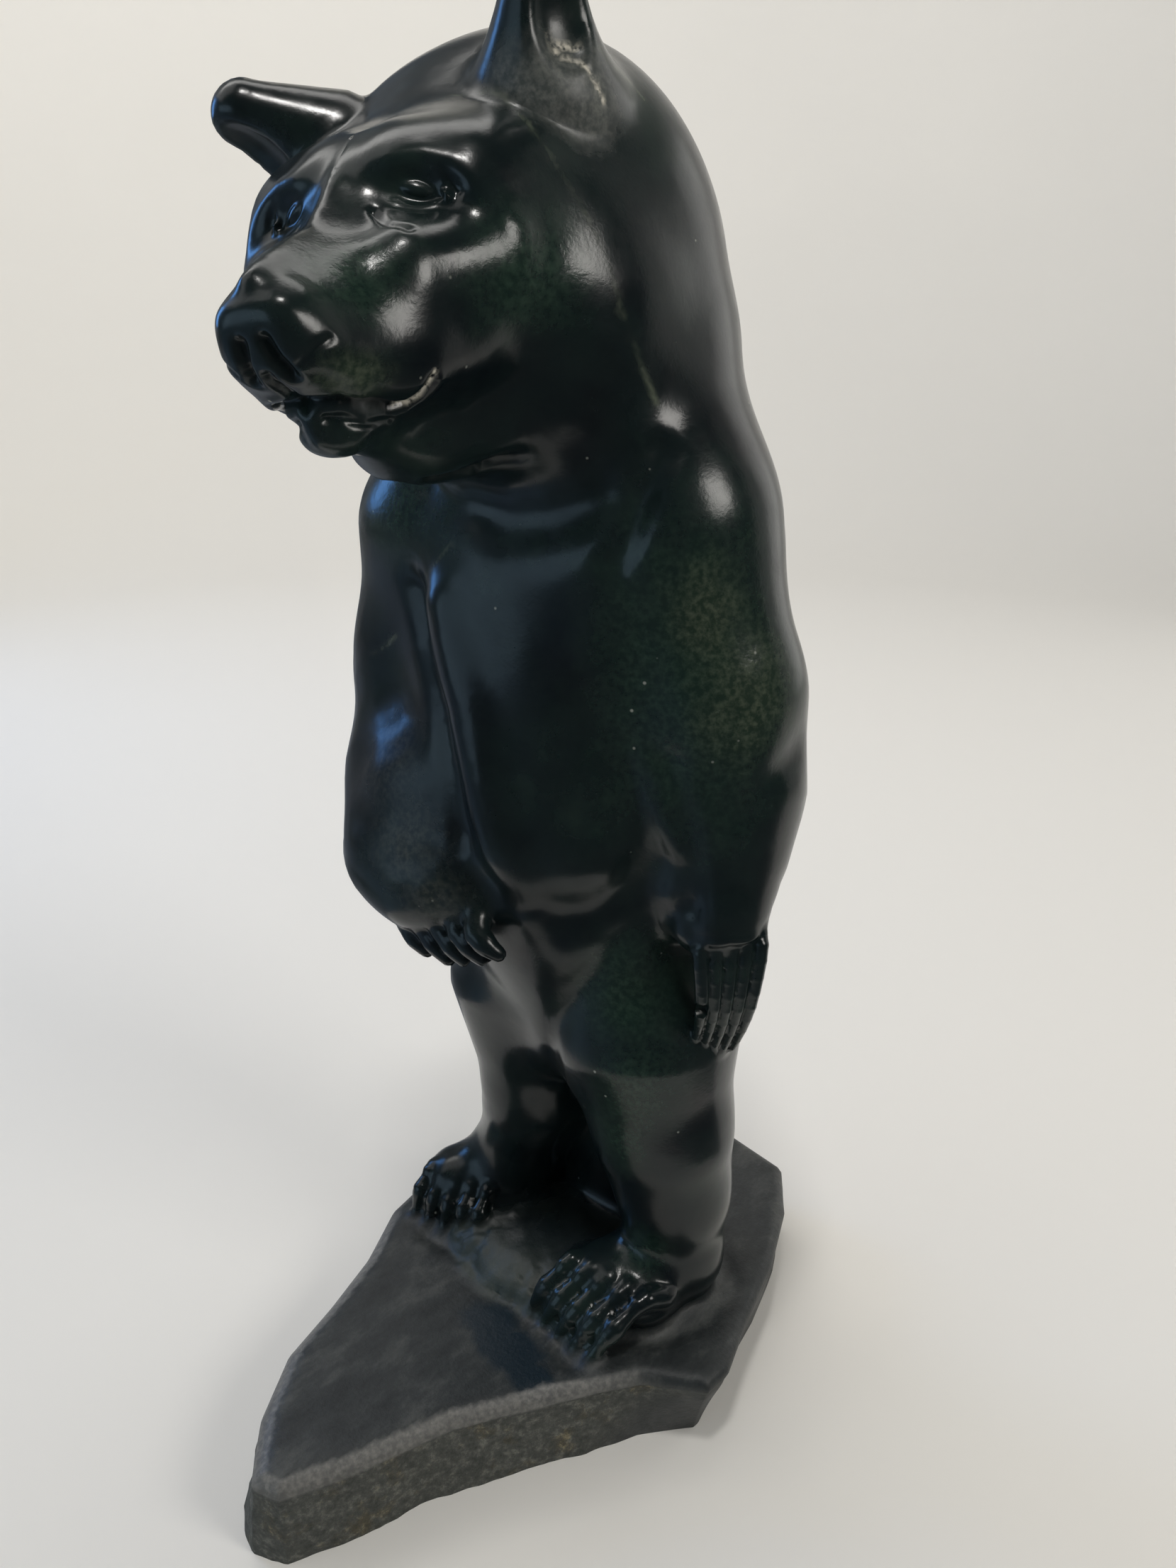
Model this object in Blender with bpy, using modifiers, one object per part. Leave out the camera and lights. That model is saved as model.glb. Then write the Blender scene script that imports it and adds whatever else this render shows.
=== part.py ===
"""A bear standing upright on a leaf-shaped slab, carved from one block of dark green jade.

The figure is drawn in centimetres, the bear facing -Y with its left side at +X, and every drawn length is
carried to the real size by SCALE. Drawn heights are above the slab's top.
"""

import math

import bmesh
import bpy
import numpy as np
from mathutils import Euler

# Driving sizes, in metres
FIGURE_HEIGHT = 0.347
SLAB_THICKNESS = 0.028
SLAB_LENGTH = 0.195
SLAB_WIDTH = 0.127

DRAWN_HEIGHT = 34.7
SCALE = FIGURE_HEIGHT / DRAWN_HEIGHT

# Mesh resolution, in drawn centimetres, and the triangles that the finished solid may have
VOXEL = 0.24
TRIANGLES = 9600
BELOW_GROUND = 0.6
FLAT_REACH = 0.0004


# Distances: negative inside, positive outside, in drawn centimetres


def smooth_union(a, b, reach):
    h = np.maximum(reach - np.abs(a - b), 0.0) / reach
    return np.minimum(a, b) - h * h * reach / 4.0


def smooth_cut(a, b, reach):
    """a with b taken away."""
    return -smooth_union(-a, b, reach)


def ramp(value, start, end):
    """0 before start, 1 past end, smooth between."""
    t = np.clip((value - start) / (end - start), 0.0, 1.0)
    return t * t * (3.0 - 2.0 * t)


def turned(degrees):
    return np.array(Euler([math.radians(d) for d in degrees]).to_matrix())


def rounded(q, radii, squareness):
    """Distance to a rounded form about the origin; squareness 2 is an oval, more is boxier."""
    q = np.abs(q) / radii + 1e-4
    level = (q**squareness).sum(axis=1) ** (1.0 / squareness)
    steep = np.linalg.norm(q ** (squareness - 1.0) / radii, axis=1) / level ** (squareness - 1.0)
    return (level - 1.0) / steep


def ball(p, centre, radii, turn=None, squareness=2.0):
    """Distance to an oval ball, turned by degrees about X, Y and Z."""
    q = p - np.array(centre)
    if turn:
        q = q @ turned(turn)
    return rounded(q, np.array(radii), squareness)


def limb(p, start, end, start_radius, end_radius):
    """Distance to a tapered rod with round ends."""
    a = np.array(start, float)
    along = np.array(end, float) - a
    t = np.clip((p - a) @ along / (along @ along), 0.0, 1.0)
    radius = start_radius + (end_radius - start_radius) * t
    return np.linalg.norm(p - a - t[:, None] * along, axis=1) - radius


def chain(p, beads, reach):
    """Tapered rods through the beads, blended."""
    d = None
    for (a, ra), (b, rb) in zip(beads, beads[1:]):
        rod = limb(p, a, b, ra, rb)
        d = rod if d is None else smooth_union(d, rod, reach)
    return d


def near_points(p, points, margin):
    line = np.array(points)
    low, high = line.min(axis=0) - margin, line.max(axis=0) + margin
    return np.all((p > low) & (p < high), axis=1)


def furrow(p, points, width, depth):
    """How far a furrow along the points lowers the surface; a negative depth raises a ridge."""
    close = near_points(p, points, 3.0 * width)
    lowered = np.zeros(len(p))
    q = p[close]
    off = np.min([limb(q, a, b, 0.0, 0.0) for a, b in zip(points, points[1:])], axis=0)
    lowered[close] = depth * np.exp(-((off / width) ** 2))
    return lowered


def dent(p, centre, radii, depth, turn=None):
    """How far a round dent lowers the surface; a negative depth raises a swelling."""
    close = near_points(p, [centre], 2.5 * max(radii))
    lowered = np.zeros(len(p))
    q = p[close] - np.array(centre)
    if turn:
        q = q @ turned(turn)
    lowered[close] = depth * np.exp(-((q / np.array(radii)) ** 2).sum(axis=1))
    return lowered


def mirrored(p):
    return np.column_stack([np.abs(p[:, 0]), p[:, 1:]])


def smooth_curve(t, rows):
    """A smooth curve through rows of (position, values...), read at each t."""
    rows = np.array(rows, float)
    knots, values = rows[:, 0], rows[:, 1:]
    t = np.clip(t, knots[0], knots[-1])
    slopes = np.gradient(values, knots, axis=0)
    i = np.clip(np.searchsorted(knots, t) - 1, 0, len(knots) - 2)
    span = knots[i + 1] - knots[i]
    u = ((t - knots[i]) / span)[:, None]
    span = span[:, None]
    rise = (2 * u**3 - 3 * u**2 + 1) * values[i] + (3 * u**2 - 2 * u**3) * values[i + 1]
    return rise + span * ((u**3 - 2 * u**2 + u) * slopes[i] + (u**3 - u**2) * slopes[i + 1])


def loft(p, rows, blunt, squareness=2.0):
    """Distance to a column with an oval section at each height: (height, x, y, half width, half depth)."""
    section = smooth_curve(p[:, 2], rows)
    side = rounded(p[:, :2] - section[:, :2], section[:, 2:4], squareness)
    past = np.maximum(p[:, 2] - rows[-1][0], rows[0][0] - p[:, 2])
    return -smooth_union(-side, -past, blunt)


# Torso and neck, legs, feet and arms

TORSO = [
    (6.5, 0.9, 1.5, 2.6, 2.6),
    (9.5, 0.8, 1.2, 3.7, 3.2),
    (12.5, 0.3, 0.6, 4.1, 3.7),
    (15.5, 0.1, 0.2, 4.2, 4.0),
    (19.0, 0.0, 0.3, 4.1, 3.8),
    (22.0, 0.0, 0.6, 4.3, 3.7),
    (24.5, -0.05, 0.85, 4.25, 3.75),
    (27.0, -0.2, 0.95, 4.1, 3.95),
    (29.0, -0.25, 0.85, 3.9, 3.85),
]
TORSO_BLUNT = 2.0
NAPE = ((-0.35, 0.65, 28.0), (4.0, 4.0, 5.35))
LEGS = {
    "left": [((2.9, 0.4, 9.0), 2.7), ((3.45, 0.5, 5.8), 1.85), ((3.75, 0.7, 3.6), 1.5),
             ((3.9, 0.8, 2.0), 1.3)],
    "right": [((-1.8, 0.4, 9.0), 2.3), ((-1.5, 0.5, 4.8), 1.5), ((-2.4, 0.6, 2.2), 1.45)],
}
FEET = {
    "left": [((3.95, 0.8, 0.9), 1.25), ((2.8, -1.2, 0.8), 0.95), ((3.9, -1.0, 0.8), 0.95)],
    "right": [((-2.8, 0.6, 1.0), 1.25), ((-3.8, -0.9, 0.75), 0.9), ((-2.7, -0.5, 0.75), 0.95)],
}
WEB = ((0.5, 1.9, 4.0), (2.0, 0.9, 6.0))
MOUND = ((0.0, -0.5, 0.0), (3.5, 2.7, 0.9))
ARMS = {
    "left": [((3.45, 0.6, 23.0), 2.1), ((4.1, 0.9, 19.0), 2.15), ((4.25, 1.0, 16.2), 2.1),
             ((4.9, 0.3, 14.2), 1.3), ((5.4, -0.1, 13.6), 0.9)],
    "right": [((-4.1, -0.1, 22.4), 2.2), ((-4.45, -0.1, 18.6), 2.05), ((-4.0, -1.4, 15.3), 1.85),
              ((-3.1, -3.0, 13.9), 1.25), ((-1.8, -3.3, 13.6), 1.05), ((-0.2, -3.2, 13.75), 0.9)],
    "inner right": [((-3.9, -0.7, 18.6), 1.3), ((-2.5, -2.35, 16.0), 1.3), ((-1.2, -3.2, 14.3), 1.1)],
}

# Fingers and toes: the first and the last knuckle, the first and the last claw tip, the way back from a
# knuckle to its root, the bow of a digit's middle, the radius of a tip, how much further the middle digits
# reach, and how far their joints stand out

DIGITS = {
    "left foot": ((2.0, -1.95, 1.55), (4.5, -1.6, 1.4), (1.4, -3.05, 0.15), (3.85, -3.2, 0.15),
                  (0.3, 0.7, -0.2), (0.0, -0.15, 0.1), 0.13, 0.1, 1.6),
    "right foot": ((-4.4, -1.55, 1.3), (-2.2, -1.1, 1.35), (-4.35, -2.4, 0.15), (-1.95, -2.05, 0.15),
                   (0.1, 0.6, -0.2), (0.0, -0.15, 0.1), 0.12, 0.1, 1.6),
    "left hand": ((5.6, -1.1, 12.9), (6.6, 0.1, 13.0), (5.2, -0.55, 10.1), (5.65, 0.5, 9.4),
                  (-0.3, 0.3, 0.5), (0.25, -0.2, 0.0), 0.1, 0.1, 0.1),
    "right hand": ((-2.1, -3.8, 12.4), (0.6, -3.9, 13.1), (-1.4, -3.85, 11.75), (1.25, -3.8, 12.6),
                   (-0.3, 0.4, 0.7), (0.0, -0.1, 0.0), 0.2, 0.4, 0.2),
}
DIGIT_COUNT = 5
DIGIT_FULLNESS = 0.5
DIGIT_STEPS = 11
DIGIT_REACH = 0.02
DIGIT_GAP_REACH = 0.06

# The head in its own frame: snout along -Y, crown at +Z, right half mirrored from the left

HEAD_PLACE = np.array([-1.0, -2.4, 29.1])
HEAD_AXES = turned((6.0, -8.0, 16.0))
FACE = [
    (-7.5, 0.0, -0.95, 0.8, 0.55),
    (-7.1, 0.0, -0.95, 1.15, 0.9),
    (-6.5, 0.0, -1.05, 1.35, 1.25),
    (-5.8, 0.0, -1.1, 1.6, 1.5),
    (-5.0, 0.0, -1.15, 1.9, 1.75),
    (-4.2, 0.0, -1.0, 2.2, 2.05),
    (-3.3, 0.0, -0.8, 2.7, 2.35),
    (-1.8, 0.0, -0.6, 3.35, 2.8),
    (0.0, 0.0, -0.3, 3.85, 3.45),
    (2.0, 0.0, 0.1, 4.0, 3.9),
    (3.5, 0.0, 0.0, 3.5, 3.4),
    (4.8, 0.0, -0.1, 2.0, 2.0),
]
FACE_SQUARENESS = 2.2
SNOUT_TAPER = 0.4
SNOUT_TAPER_SPAN = (2.0, 5.0)
SNOUT_MIDDLE = -1.2
SNOUT_HALF_HEIGHT = 1.8
SNOUT_BEND = 0.15
SNOUT_BEND_SPAN = (3.0, 7.0)
BROW = ((0.9, -3.0, 1.1), (2.3, -2.5, 1.0), 0.42, 0.48)
FOREHEAD = ((0.7, -1.9, 1.0), (2.2, -1.2, 1.0), 1.25, 1.15)
CHEEK = ((1.5, -4.3, -0.3), (2.5, -2.8, -0.4), 0.8, 0.7)
JAW = [((0.0, -5.8, -2.6), 0.55), ((0.0, -4.6, -2.5), 0.85), ((0.1, -3.0, -2.95), 1.35),
       ((0.5, -1.4, -3.1), 1.6), ((1.9, 0.2, -2.5), 1.4)]
NOSE_PAD = ((0.0, -7.0, -0.95), (0.95, 0.58, 0.78), (12.0, 0.0, 0.0), 3.0)
EAR_BASE = ((-0.15, 0.0, -0.9), 1.35)
EAR_TIP = ((0.1, 0.0, 1.0), 0.75)
EAR_CUP = ((1.25, 0.0, 0.6), (0.78, 0.95, 1.2))
EAR_CUP_REACH = 0.2
EARS = {
    "left": ((3.15, -0.1, 3.5), (0.0, 15.0, -37.0)),
    "right": ((-3.4, 0.0, 2.9), (29.0, 46.0, -106.0)),
}


# The full side of the neck behind the near cheek
RUFF = ((1.9, -1.6, 27.2), (1.6, 1.7, 2.6))


def to_head(p):
    return (p - HEAD_PLACE) @ HEAD_AXES


def ear(q, centre, turn):
    """A blunt tapered ear with a hollow in its outer face."""
    own = (q - np.array(centre)) @ turned(turn)
    d = limb(own, EAR_BASE[0], EAR_TIP[0], EAR_BASE[1], EAR_TIP[1])
    return smooth_cut(d, ball(own, *EAR_CUP), EAR_CUP_REACH)


LIPS = [
    ((0.0, -6.1, -2.05), (1.1, 0.65, 0.5)),
    ((0.0, -5.75, -2.85), (0.8, 0.7, 0.48)),
    ((0.0, -6.42, -2.55), (0.2, 0.22, 0.42)),
]
EYES = [(1.6, -3.62, 1.05), (-1.4, -3.66, 1.1)]
EYE_TURN = 20.0
EYE_SOCKET = ((0.0, -0.1, 0.0), (0.85, 0.9, 0.45), 0.4)
EYE_BALL = ((0.0, 0.56, -0.02), (0.55, 0.42, 0.24))


def eye_frame(q, centre):
    """The head's points seen from an eye: X outwards, -Y out of the face, Z up."""
    side = 1.0 if centre[0] > 0 else -1.0
    own = (q - np.array(centre)) @ turned((0.0, side * EYE_TURN, side * EYE_TURN))
    own[:, 0] *= side
    return own


def snout_frame(q):
    """The head's points with the snout straightened and its sides upright."""
    q = centred(q)
    snout = ramp(-q[:, 1], *SNOUT_TAPER_SPAN)
    height = np.clip((q[:, 2] - SNOUT_MIDDLE) / SNOUT_HALF_HEIGHT, -0.6, 1.0)
    q[:, 0] /= 1.0 - SNOUT_TAPER * snout * height
    return q


# How far the blends of the head's forms reach
FACE_BLUNT = 0.4
JAW_REACH = 0.8
THROAT_REACH = 0.5
NOSE_REACH = 0.3
LIP_REACH = 0.25
BONE_REACH = 1.3
EAR_REACH = 0.3
EYE_REACH = 0.06


def centred(q):
    """The head's points with the snout's bend taken out."""
    return q - SNOUT_BEND * ramp(-q[:, 1], *SNOUT_BEND_SPAN)[:, None] * np.array([1.0, 0.0, 0.0])


def head(p):
    q = to_head(p)
    m = mirrored(snout_frame(q))
    d = loft(m[:, [0, 2, 1]], FACE, FACE_BLUNT, FACE_SQUARENESS)
    m = mirrored(centred(q))
    d = smooth_union(d, chain(m, JAW, JAW_REACH), THROAT_REACH)
    d = smooth_union(d, ball(m, *NOSE_PAD), NOSE_REACH)
    for lip in LIPS:
        d = smooth_union(d, ball(m, *lip), LIP_REACH)
    for rod in (BROW, FOREHEAD, CHEEK):
        d = smooth_union(d, limb(m, *rod), BONE_REACH)
    for centre, turn in EARS.values():
        d = smooth_union(d, ear(q, centre, turn), EAR_REACH)
    for centre in EYES:
        own = eye_frame(q, centre)
        d = d + dent(own, *EYE_SOCKET)
        d = smooth_union(d, ball(own, *EYE_BALL), EYE_REACH)
    return d


def digits(p, first, last, first_tip, last_tip, root, bow, tip_radius, further, joints):
    """Five digits side by side, the middle ones reaching further, each swept along a smooth curve."""
    d = None
    ends = (first, last, first_tip, last_tip, root, bow)
    first, last, first_tip, last_tip, root, bow = (np.array(end) for end in ends)
    radius = DIGIT_FULLNESS * np.linalg.norm(last - first) / (DIGIT_COUNT - 1)
    for share in np.linspace(0.0, 1.0, DIGIT_COUNT):
        knuckle = first + (last - first) * share
        tip = first_tip + (last_tip - first_tip) * share
        reach = (tip - knuckle) * (1.0 + further * math.sin(math.pi * share))
        rows = [
            (-0.3, *(knuckle + root), radius),
            (0.0, *knuckle, radius),
            (0.25, *(knuckle + 0.25 * reach + 0.7 * bow), (0.95 - 0.15 * joints) * radius),
            (0.5, *(knuckle + 0.5 * reach + bow), (0.85 + 0.1 * joints) * radius),
            (0.75, *(knuckle + 0.75 * reach + 0.7 * bow), 0.7 * radius),
            (1.0, *(knuckle + reach), tip_radius),
        ]
        curve = smooth_curve(np.linspace(rows[0][0], 1.0, DIGIT_STEPS), rows)
        digit = chain(p, [(point[:3], point[3]) for point in curve], DIGIT_REACH)
        d = digit if d is None else smooth_union(d, digit, DIGIT_GAP_REACH)
    return d


def add_near(d, p, points, margin, reach, make):
    """Blends a small shape in, worked out only where it can matter."""
    close = near_points(p, points, margin)
    d = d.copy()
    d[close] = smooth_union(d[close], make(p[close]), reach)
    return d


# How far each form's blend into the rest reaches; the arms' and the head's blends widen with height, as
# (reach below, further reach above, start and end height of the change)
NAPE_REACH = 0.6
LEG_REACH = 1.0
LEFT_ARM_REACH = (0.5, 2.3, 17.0, 23.0)
RIGHT_ARM_REACH = (0.9, 1.5, 17.0, 23.0)
INNER_ARM_REACH = 0.8
ARM_BEND_REACH = 1.5
WEB_REACH = 0.8
DIGIT_ROOT_REACH = 0.15
DIGIT_ROOM = 1.3
HEAD_REACH = (0.7, 1.1, 25.5, 28.5)
HEAD_ROOM = 9.5
RUFF_REACH = 1.5
GROUND_REACH = 0.5


def reach_at(p, low, more, start, end):
    return low + more * ramp(p[:, 2], start, end)


def bear(p):
    d = smooth_union(loft(p, TORSO, TORSO_BLUNT), ball(p, *NAPE), NAPE_REACH)
    for side in LEGS:
        d = smooth_union(d, chain(p, LEGS[side], LEG_REACH), LEG_REACH)
        d = smooth_union(d, chain(p, FEET[side], LEG_REACH), LEG_REACH)
    left_arm = chain(p, ARMS["left"], ARM_BEND_REACH)
    d = smooth_union(d, left_arm, reach_at(p, *LEFT_ARM_REACH))
    right_arm = chain(p, ARMS["right"], ARM_BEND_REACH)
    right_arm = smooth_union(right_arm, chain(p, ARMS["inner right"], ARM_BEND_REACH), INNER_ARM_REACH)
    d = smooth_union(d, right_arm, reach_at(p, *RIGHT_ARM_REACH))
    for form in (WEB, MOUND):
        d = smooth_union(d, ball(p, *form), WEB_REACH)
    for row in DIGITS.values():
        d = add_near(d, p, row[:4], DIGIT_ROOM, DIGIT_ROOT_REACH, lambda q: digits(q, *row))
    close = near_points(p, [HEAD_PLACE], HEAD_ROOM)
    d[close] = smooth_union(d[close], head(p[close]), reach_at(p[close], *HEAD_REACH))
    return smooth_union(d, ball(p, *RUFF), RUFF_REACH)


# The slab: its outline in shares of its length and width, seen from above

SLAB_CENTRE = (0.85, -1.85)
SLAB_OUTLINE = [
    (-0.11, -0.50), (-0.04, -0.49), (0.03, -0.40), (0.11, -0.27), (0.23, -0.15), (0.35, -0.05), (0.49, 0.00),
    (0.50, 0.05), (0.45, 0.15), (0.40, 0.27), (0.32, 0.39), (0.22, 0.48), (0.03, 0.50), (-0.19, 0.46),
    (-0.38, 0.35), (-0.48, 0.18), (-0.50, 0.04), (-0.48, -0.04), (-0.40, -0.14), (-0.35, -0.24),
    (-0.31, -0.34), (-0.22, -0.43),
]
SLAB_BEVEL = 0.25


def slab_corners():
    return [
        (SLAB_CENTRE[0] + x * SLAB_WIDTH / SCALE, SLAB_CENTRE[1] + y * SLAB_LENGTH / SCALE)
        for x, y in SLAB_OUTLINE
    ]


def inside_outline(p, corners):
    """Signed distance to the outline, negative inside, looking straight down."""
    flat = p[:, :2]
    nearest = np.full(len(p), np.inf)
    sign = np.ones(len(p))
    for a, b in zip(corners, corners[1:] + corners[:1]):
        a, b = np.array(a), np.array(b)
        edge = b - a
        w = flat - a
        t = np.clip(w @ edge / (edge @ edge), 0.0, 1.0)
        nearest = np.minimum(nearest, np.linalg.norm(w - t[:, None] * edge, axis=1))
        above = flat[:, 1] >= a[1]
        below_next = flat[:, 1] < b[1]
        left = edge[0] * w[:, 1] > edge[1] * w[:, 0]
        crossing = (above & below_next & left) | (~above & ~below_next & ~left)
        sign = np.where(crossing, -sign, sign)
    return nearest * sign


def slab(p):
    thickness = SLAB_THICKNESS / SCALE
    receding = 0.45 * ramp(p[:, 0], 3.5, 7.0) - 0.25 * ramp(-p[:, 0], -0.5, 2.0)
    side = inside_outline(p, slab_corners()) - receding * np.minimum(p[:, 2], 0.0)
    top = p[:, 2]
    bottom = -p[:, 2] - thickness - BELOW_GROUND
    bevel = (side + top) * math.sqrt(0.5) + SLAB_BEVEL
    edge = -smooth_union(-np.maximum(side, top), -bevel, 0.15)
    return np.maximum(edge, bottom)


def carving(p):
    return smooth_union(bear(p), slab(p), GROUND_REACH)


# Strokes cut into the finished form: (points, width, depth), a negative depth raising a ridge; dents are
# (centre, radii, depth). Those of the face are drawn on the left half of the head and mirrored.

BODY_STROKES = [
    ([(3.9, -2.0, 22.0), (4.1, -1.9, 20.6), (4.35, -1.77, 19.3), (4.6, -1.65, 18.2)], 0.8, 0.1),
    ([(4.75, -1.6, 17.9), (4.95, -1.5, 17.3), (5.25, -1.35, 16.2), (5.45, -1.27, 15.0), (5.4, -1.35, 13.6)],
     0.45, 0.17),
    ([(4.15, -1.75, 17.9), (4.6, -1.58, 16.7), (4.95, -1.42, 15.7)], 0.35, -0.12),
    ([(5.75, -1.14, 17.5), (6.2, -0.73, 16.9), (6.7, 0.13, 17.4), (6.8, 1.2, 17.9)],
     0.6, 0.17),
    ([(-2.34, -2.83, 21.4), (-1.93, -2.97, 20.0), (-0.9, -3.45, 18.6), (-0.24, -3.75, 17.1),
      (0.2, -3.8, 15.6)], 0.45, 0.3),
    ([(-1.0, -3.1, 21.2), (0.1, -3.5, 19.0), (0.7, -3.75, 17.2), (1.2, -3.7, 15.3), (1.6, -3.2, 13.6)],
     0.7, -0.32),
    ([(0.8, -3.5, 14.4), (1.6, -3.2, 13.8), (2.5, -2.8, 13.6), (3.2, -2.3, 13.7), (3.9, -1.7, 14.3),
      (4.5, -1.4, 15.2)], 0.75, 0.28),
    ([(5.2, -1.4, 14.2), (4.3, -1.5, 13.4), (3.5, -1.8, 12.8), (2.9, -2.1, 11.8), (2.4, -2.3, 11.0),
      (1.6, -2.0, 9.5), (0.9, -1.6, 7.0)], 0.45, 0.2),
    ([(-1.8, -2.7, 24.3), (-0.4, -3.0, 23.9), (0.9, -3.1, 23.5), (2.2, -3.0, 23.7), (3.3, -2.4, 24.2)],
     0.9, 0.4),
    ([(4.17, -1.26, 25.0), (4.11, -1.73, 24.2), (3.94, -2.06, 23.3), (3.7, -2.2, 22.7)], 0.35, 0.2),
    ([(-3.4, -2.9, 0.1), (-2.3, -2.8, 0.1), (-1.5, -2.8, 0.1), (-0.3, -3.3, 0.1), (1.0, -3.2, 0.1),
      (2.7, -3.4, 0.1), (3.5, -3.7, 0.1)], 0.25, 0.12),
    ([(3.9, -2.2, 0.1), (4.9, -1.4, 0.1), (5.6, 0.0, 0.1), (5.4, 1.8, 0.1), (4.4, 2.6, 0.1)], 0.3, 0.15),
    ([(5.4, -1.1, 13.1), (5.85, -1.2, 13.35), (6.3, -0.85, 13.5), (6.6, -0.1, 13.4)], 0.14, -0.08),
]
BODY_DENTS = [
    ((3.2, -2.6, 15.4), (1.3, 0.8, 1.0), -0.15),
    ((5.7, -0.3, 16.5), (1.2, 1.3, 0.8), -0.15),
]
FACE_STROKES = [
    ([(0.05, -6.8, -2.22), (0.27, -6.74, -2.24), (0.73, -6.56, -2.28), (0.94, -6.0, -2.42),
      (1.07, -5.4, -2.6), (1.25, -5.13, -2.62), (1.52, -5.0, -2.48), (1.8, -4.93, -2.2)], 0.13, 0.25),
    ([(0.3, -6.5, -2.52), (0.6, -6.35, -2.62), (0.8, -5.9, -2.76), (0.95, -5.3, -2.88)], 0.09, 0.08),
    ([(0.3, -6.3, -2.85), (0.6, -5.9, -3.0), (0.8, -5.3, -3.1)], 0.1, 0.06),
    ([(1.2, -3.5, 1.6), (1.7, -3.3, 1.62), (2.25, -3.2, 1.35), (2.75, -3.2, 0.9), (3.07, -3.15, 0.5),
      (3.25, -3.0, 0.1)], 0.3, -0.07),
    ([(0.75, -7.42, -1.5), (0.88, -7.35, -1.36), (1.05, -7.2, -1.24), (1.2, -7.0, -1.16)], 0.09, 0.05),
    ([(0.27, -7.65, -1.0), (0.35, -7.55, -1.3), (0.43, -7.3, -1.65)], 0.12, 0.22),
    ([(0.4, -3.4, -4.45), (0.85, -2.8, -4.5), (1.5, -2.2, -4.4), (2.1, -1.7, -4.15), (2.8, -1.3, -3.85),
      (3.4, -1.0, -3.5)], 0.24, 0.28),
    ([(0.0, -7.2, 0.0), (0.0, -5.4, 0.55), (0.0, -4.1, 1.15), (0.0, -2.6, 1.95)], 0.3, -0.2),
    ([(0.0, -7.4, -1.6), (0.0, -6.9, -2.1), (0.0, -6.7, -2.3)], 0.12, 0.14),
    ([(0.93, -4.17, 0.9), (1.35, -4.48, 0.62), (1.82, -4.55, 0.4)], 0.11, 0.08),
]
FACE_DENTS = [
    ((0.95, -4.6, 0.7), (0.5, 0.9, 0.5), 0.12),
    ((0.42, -7.35, -1.52), (0.16, 0.3, 0.18), 0.08),
    ((1.25, -4.3, -3.2), (0.5, 0.9, 0.38), 0.2),
    ((2.9, -1.2, -4.1), (0.5, 0.7, 0.5), 0.2),
]
EYE_STROKES = [
    ([(-0.58, -0.1, 0.0), (-0.35, 0.0, 0.24), (0.05, 0.0, 0.34), (0.4, 0.05, 0.22), (0.68, 0.2, -0.1)],
     0.1, -0.14),
    ([(-0.6, -0.1, 0.28), (-0.1, 0.0, 0.58), (0.4, 0.05, 0.5), (0.8, 0.15, 0.15)], 0.13, 0.08),
    ([(-0.56, -0.1, 0.0), (-0.35, 0.0, 0.1), (0.0, 0.1, 0.19), (0.4, 0.1, 0.08), (0.62, 0.2, -0.1)],
     0.06, 0.08),
    ([(-0.58, -0.1, 0.0), (-0.3, 0.0, -0.24), (0.15, 0.0, -0.3), (0.65, 0.15, -0.12)], 0.1, -0.04),
]


def strokes(p):
    """How far all strokes and dents lower the surface at each point."""
    lowered = np.zeros(len(p))
    q = to_head(p)
    m = mirrored(centred(q))
    for points, lines, dents in ((p, BODY_STROKES, BODY_DENTS), (m, FACE_STROKES, FACE_DENTS)):
        for line, width, depth in lines:
            lowered += furrow(points, line, width, depth)
        for centre, radii, depth in dents:
            lowered += dent(points, centre, radii, depth)
    for centre in EYES:
        own = eye_frame(q, centre)
        for line, width, depth in EYE_STROKES:
            lowered += furrow(own, line, width, depth)
    return lowered


# Places with small forms, as boxes (low corner, high corner), where the mesh is refined

FINE_PLACES = [
    ((-4.0, -11.0, 24.0), (4.5, -4.5, 32.0)),
    ((-5.5, -4.5, -0.3), (-1.0, -0.3, 2.2)),
    ((0.5, -4.5, -0.3), (5.5, -0.8, 2.2)),
    ((4.4, -2.2, 9.4), (7.2, 1.6, 14.0)),
    ((-3.0, -5.0, 11.0), (2.5, -2.5, 14.8)),
]


# From distance to mesh


def slope(shape, p, step=0.02):
    """Gradient of the shape's distance, by differences to the corners of a tetrahedron."""
    corners = np.array([(1, -1, -1), (-1, -1, 1), (-1, 1, -1), (1, 1, 1)], float)
    total = np.zeros_like(p)
    for corner in corners:
        total += corner * shape(p + corner * step)[:, None]
    return total / (4.0 * step)


def settle(shape, p, rounds=6, most=0.5):
    """Moves points along the slope until they lie on the surface."""
    for _ in range(rounds):
        n = slope(shape, p)
        move = shape(p) / np.maximum((n * n).sum(axis=1), 0.2)
        p = p - n * np.clip(move, -most, most)[:, None]
    return p


def directions(shape, p):
    n = slope(shape, p)
    return n / np.maximum(np.linalg.norm(n, axis=1), 1e-6)[:, None]


def beads_along(start, end, start_radius, end_radius):
    a, b = np.array(start, float), np.array(end, float)
    steps = max(2, math.ceil(np.linalg.norm(b - a) / (0.5 * min(start_radius, end_radius))))
    shares = np.linspace(0, 1, steps)
    return [(a + (b - a) * t, start_radius + (end_radius - start_radius) * t) for t in shares]


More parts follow.
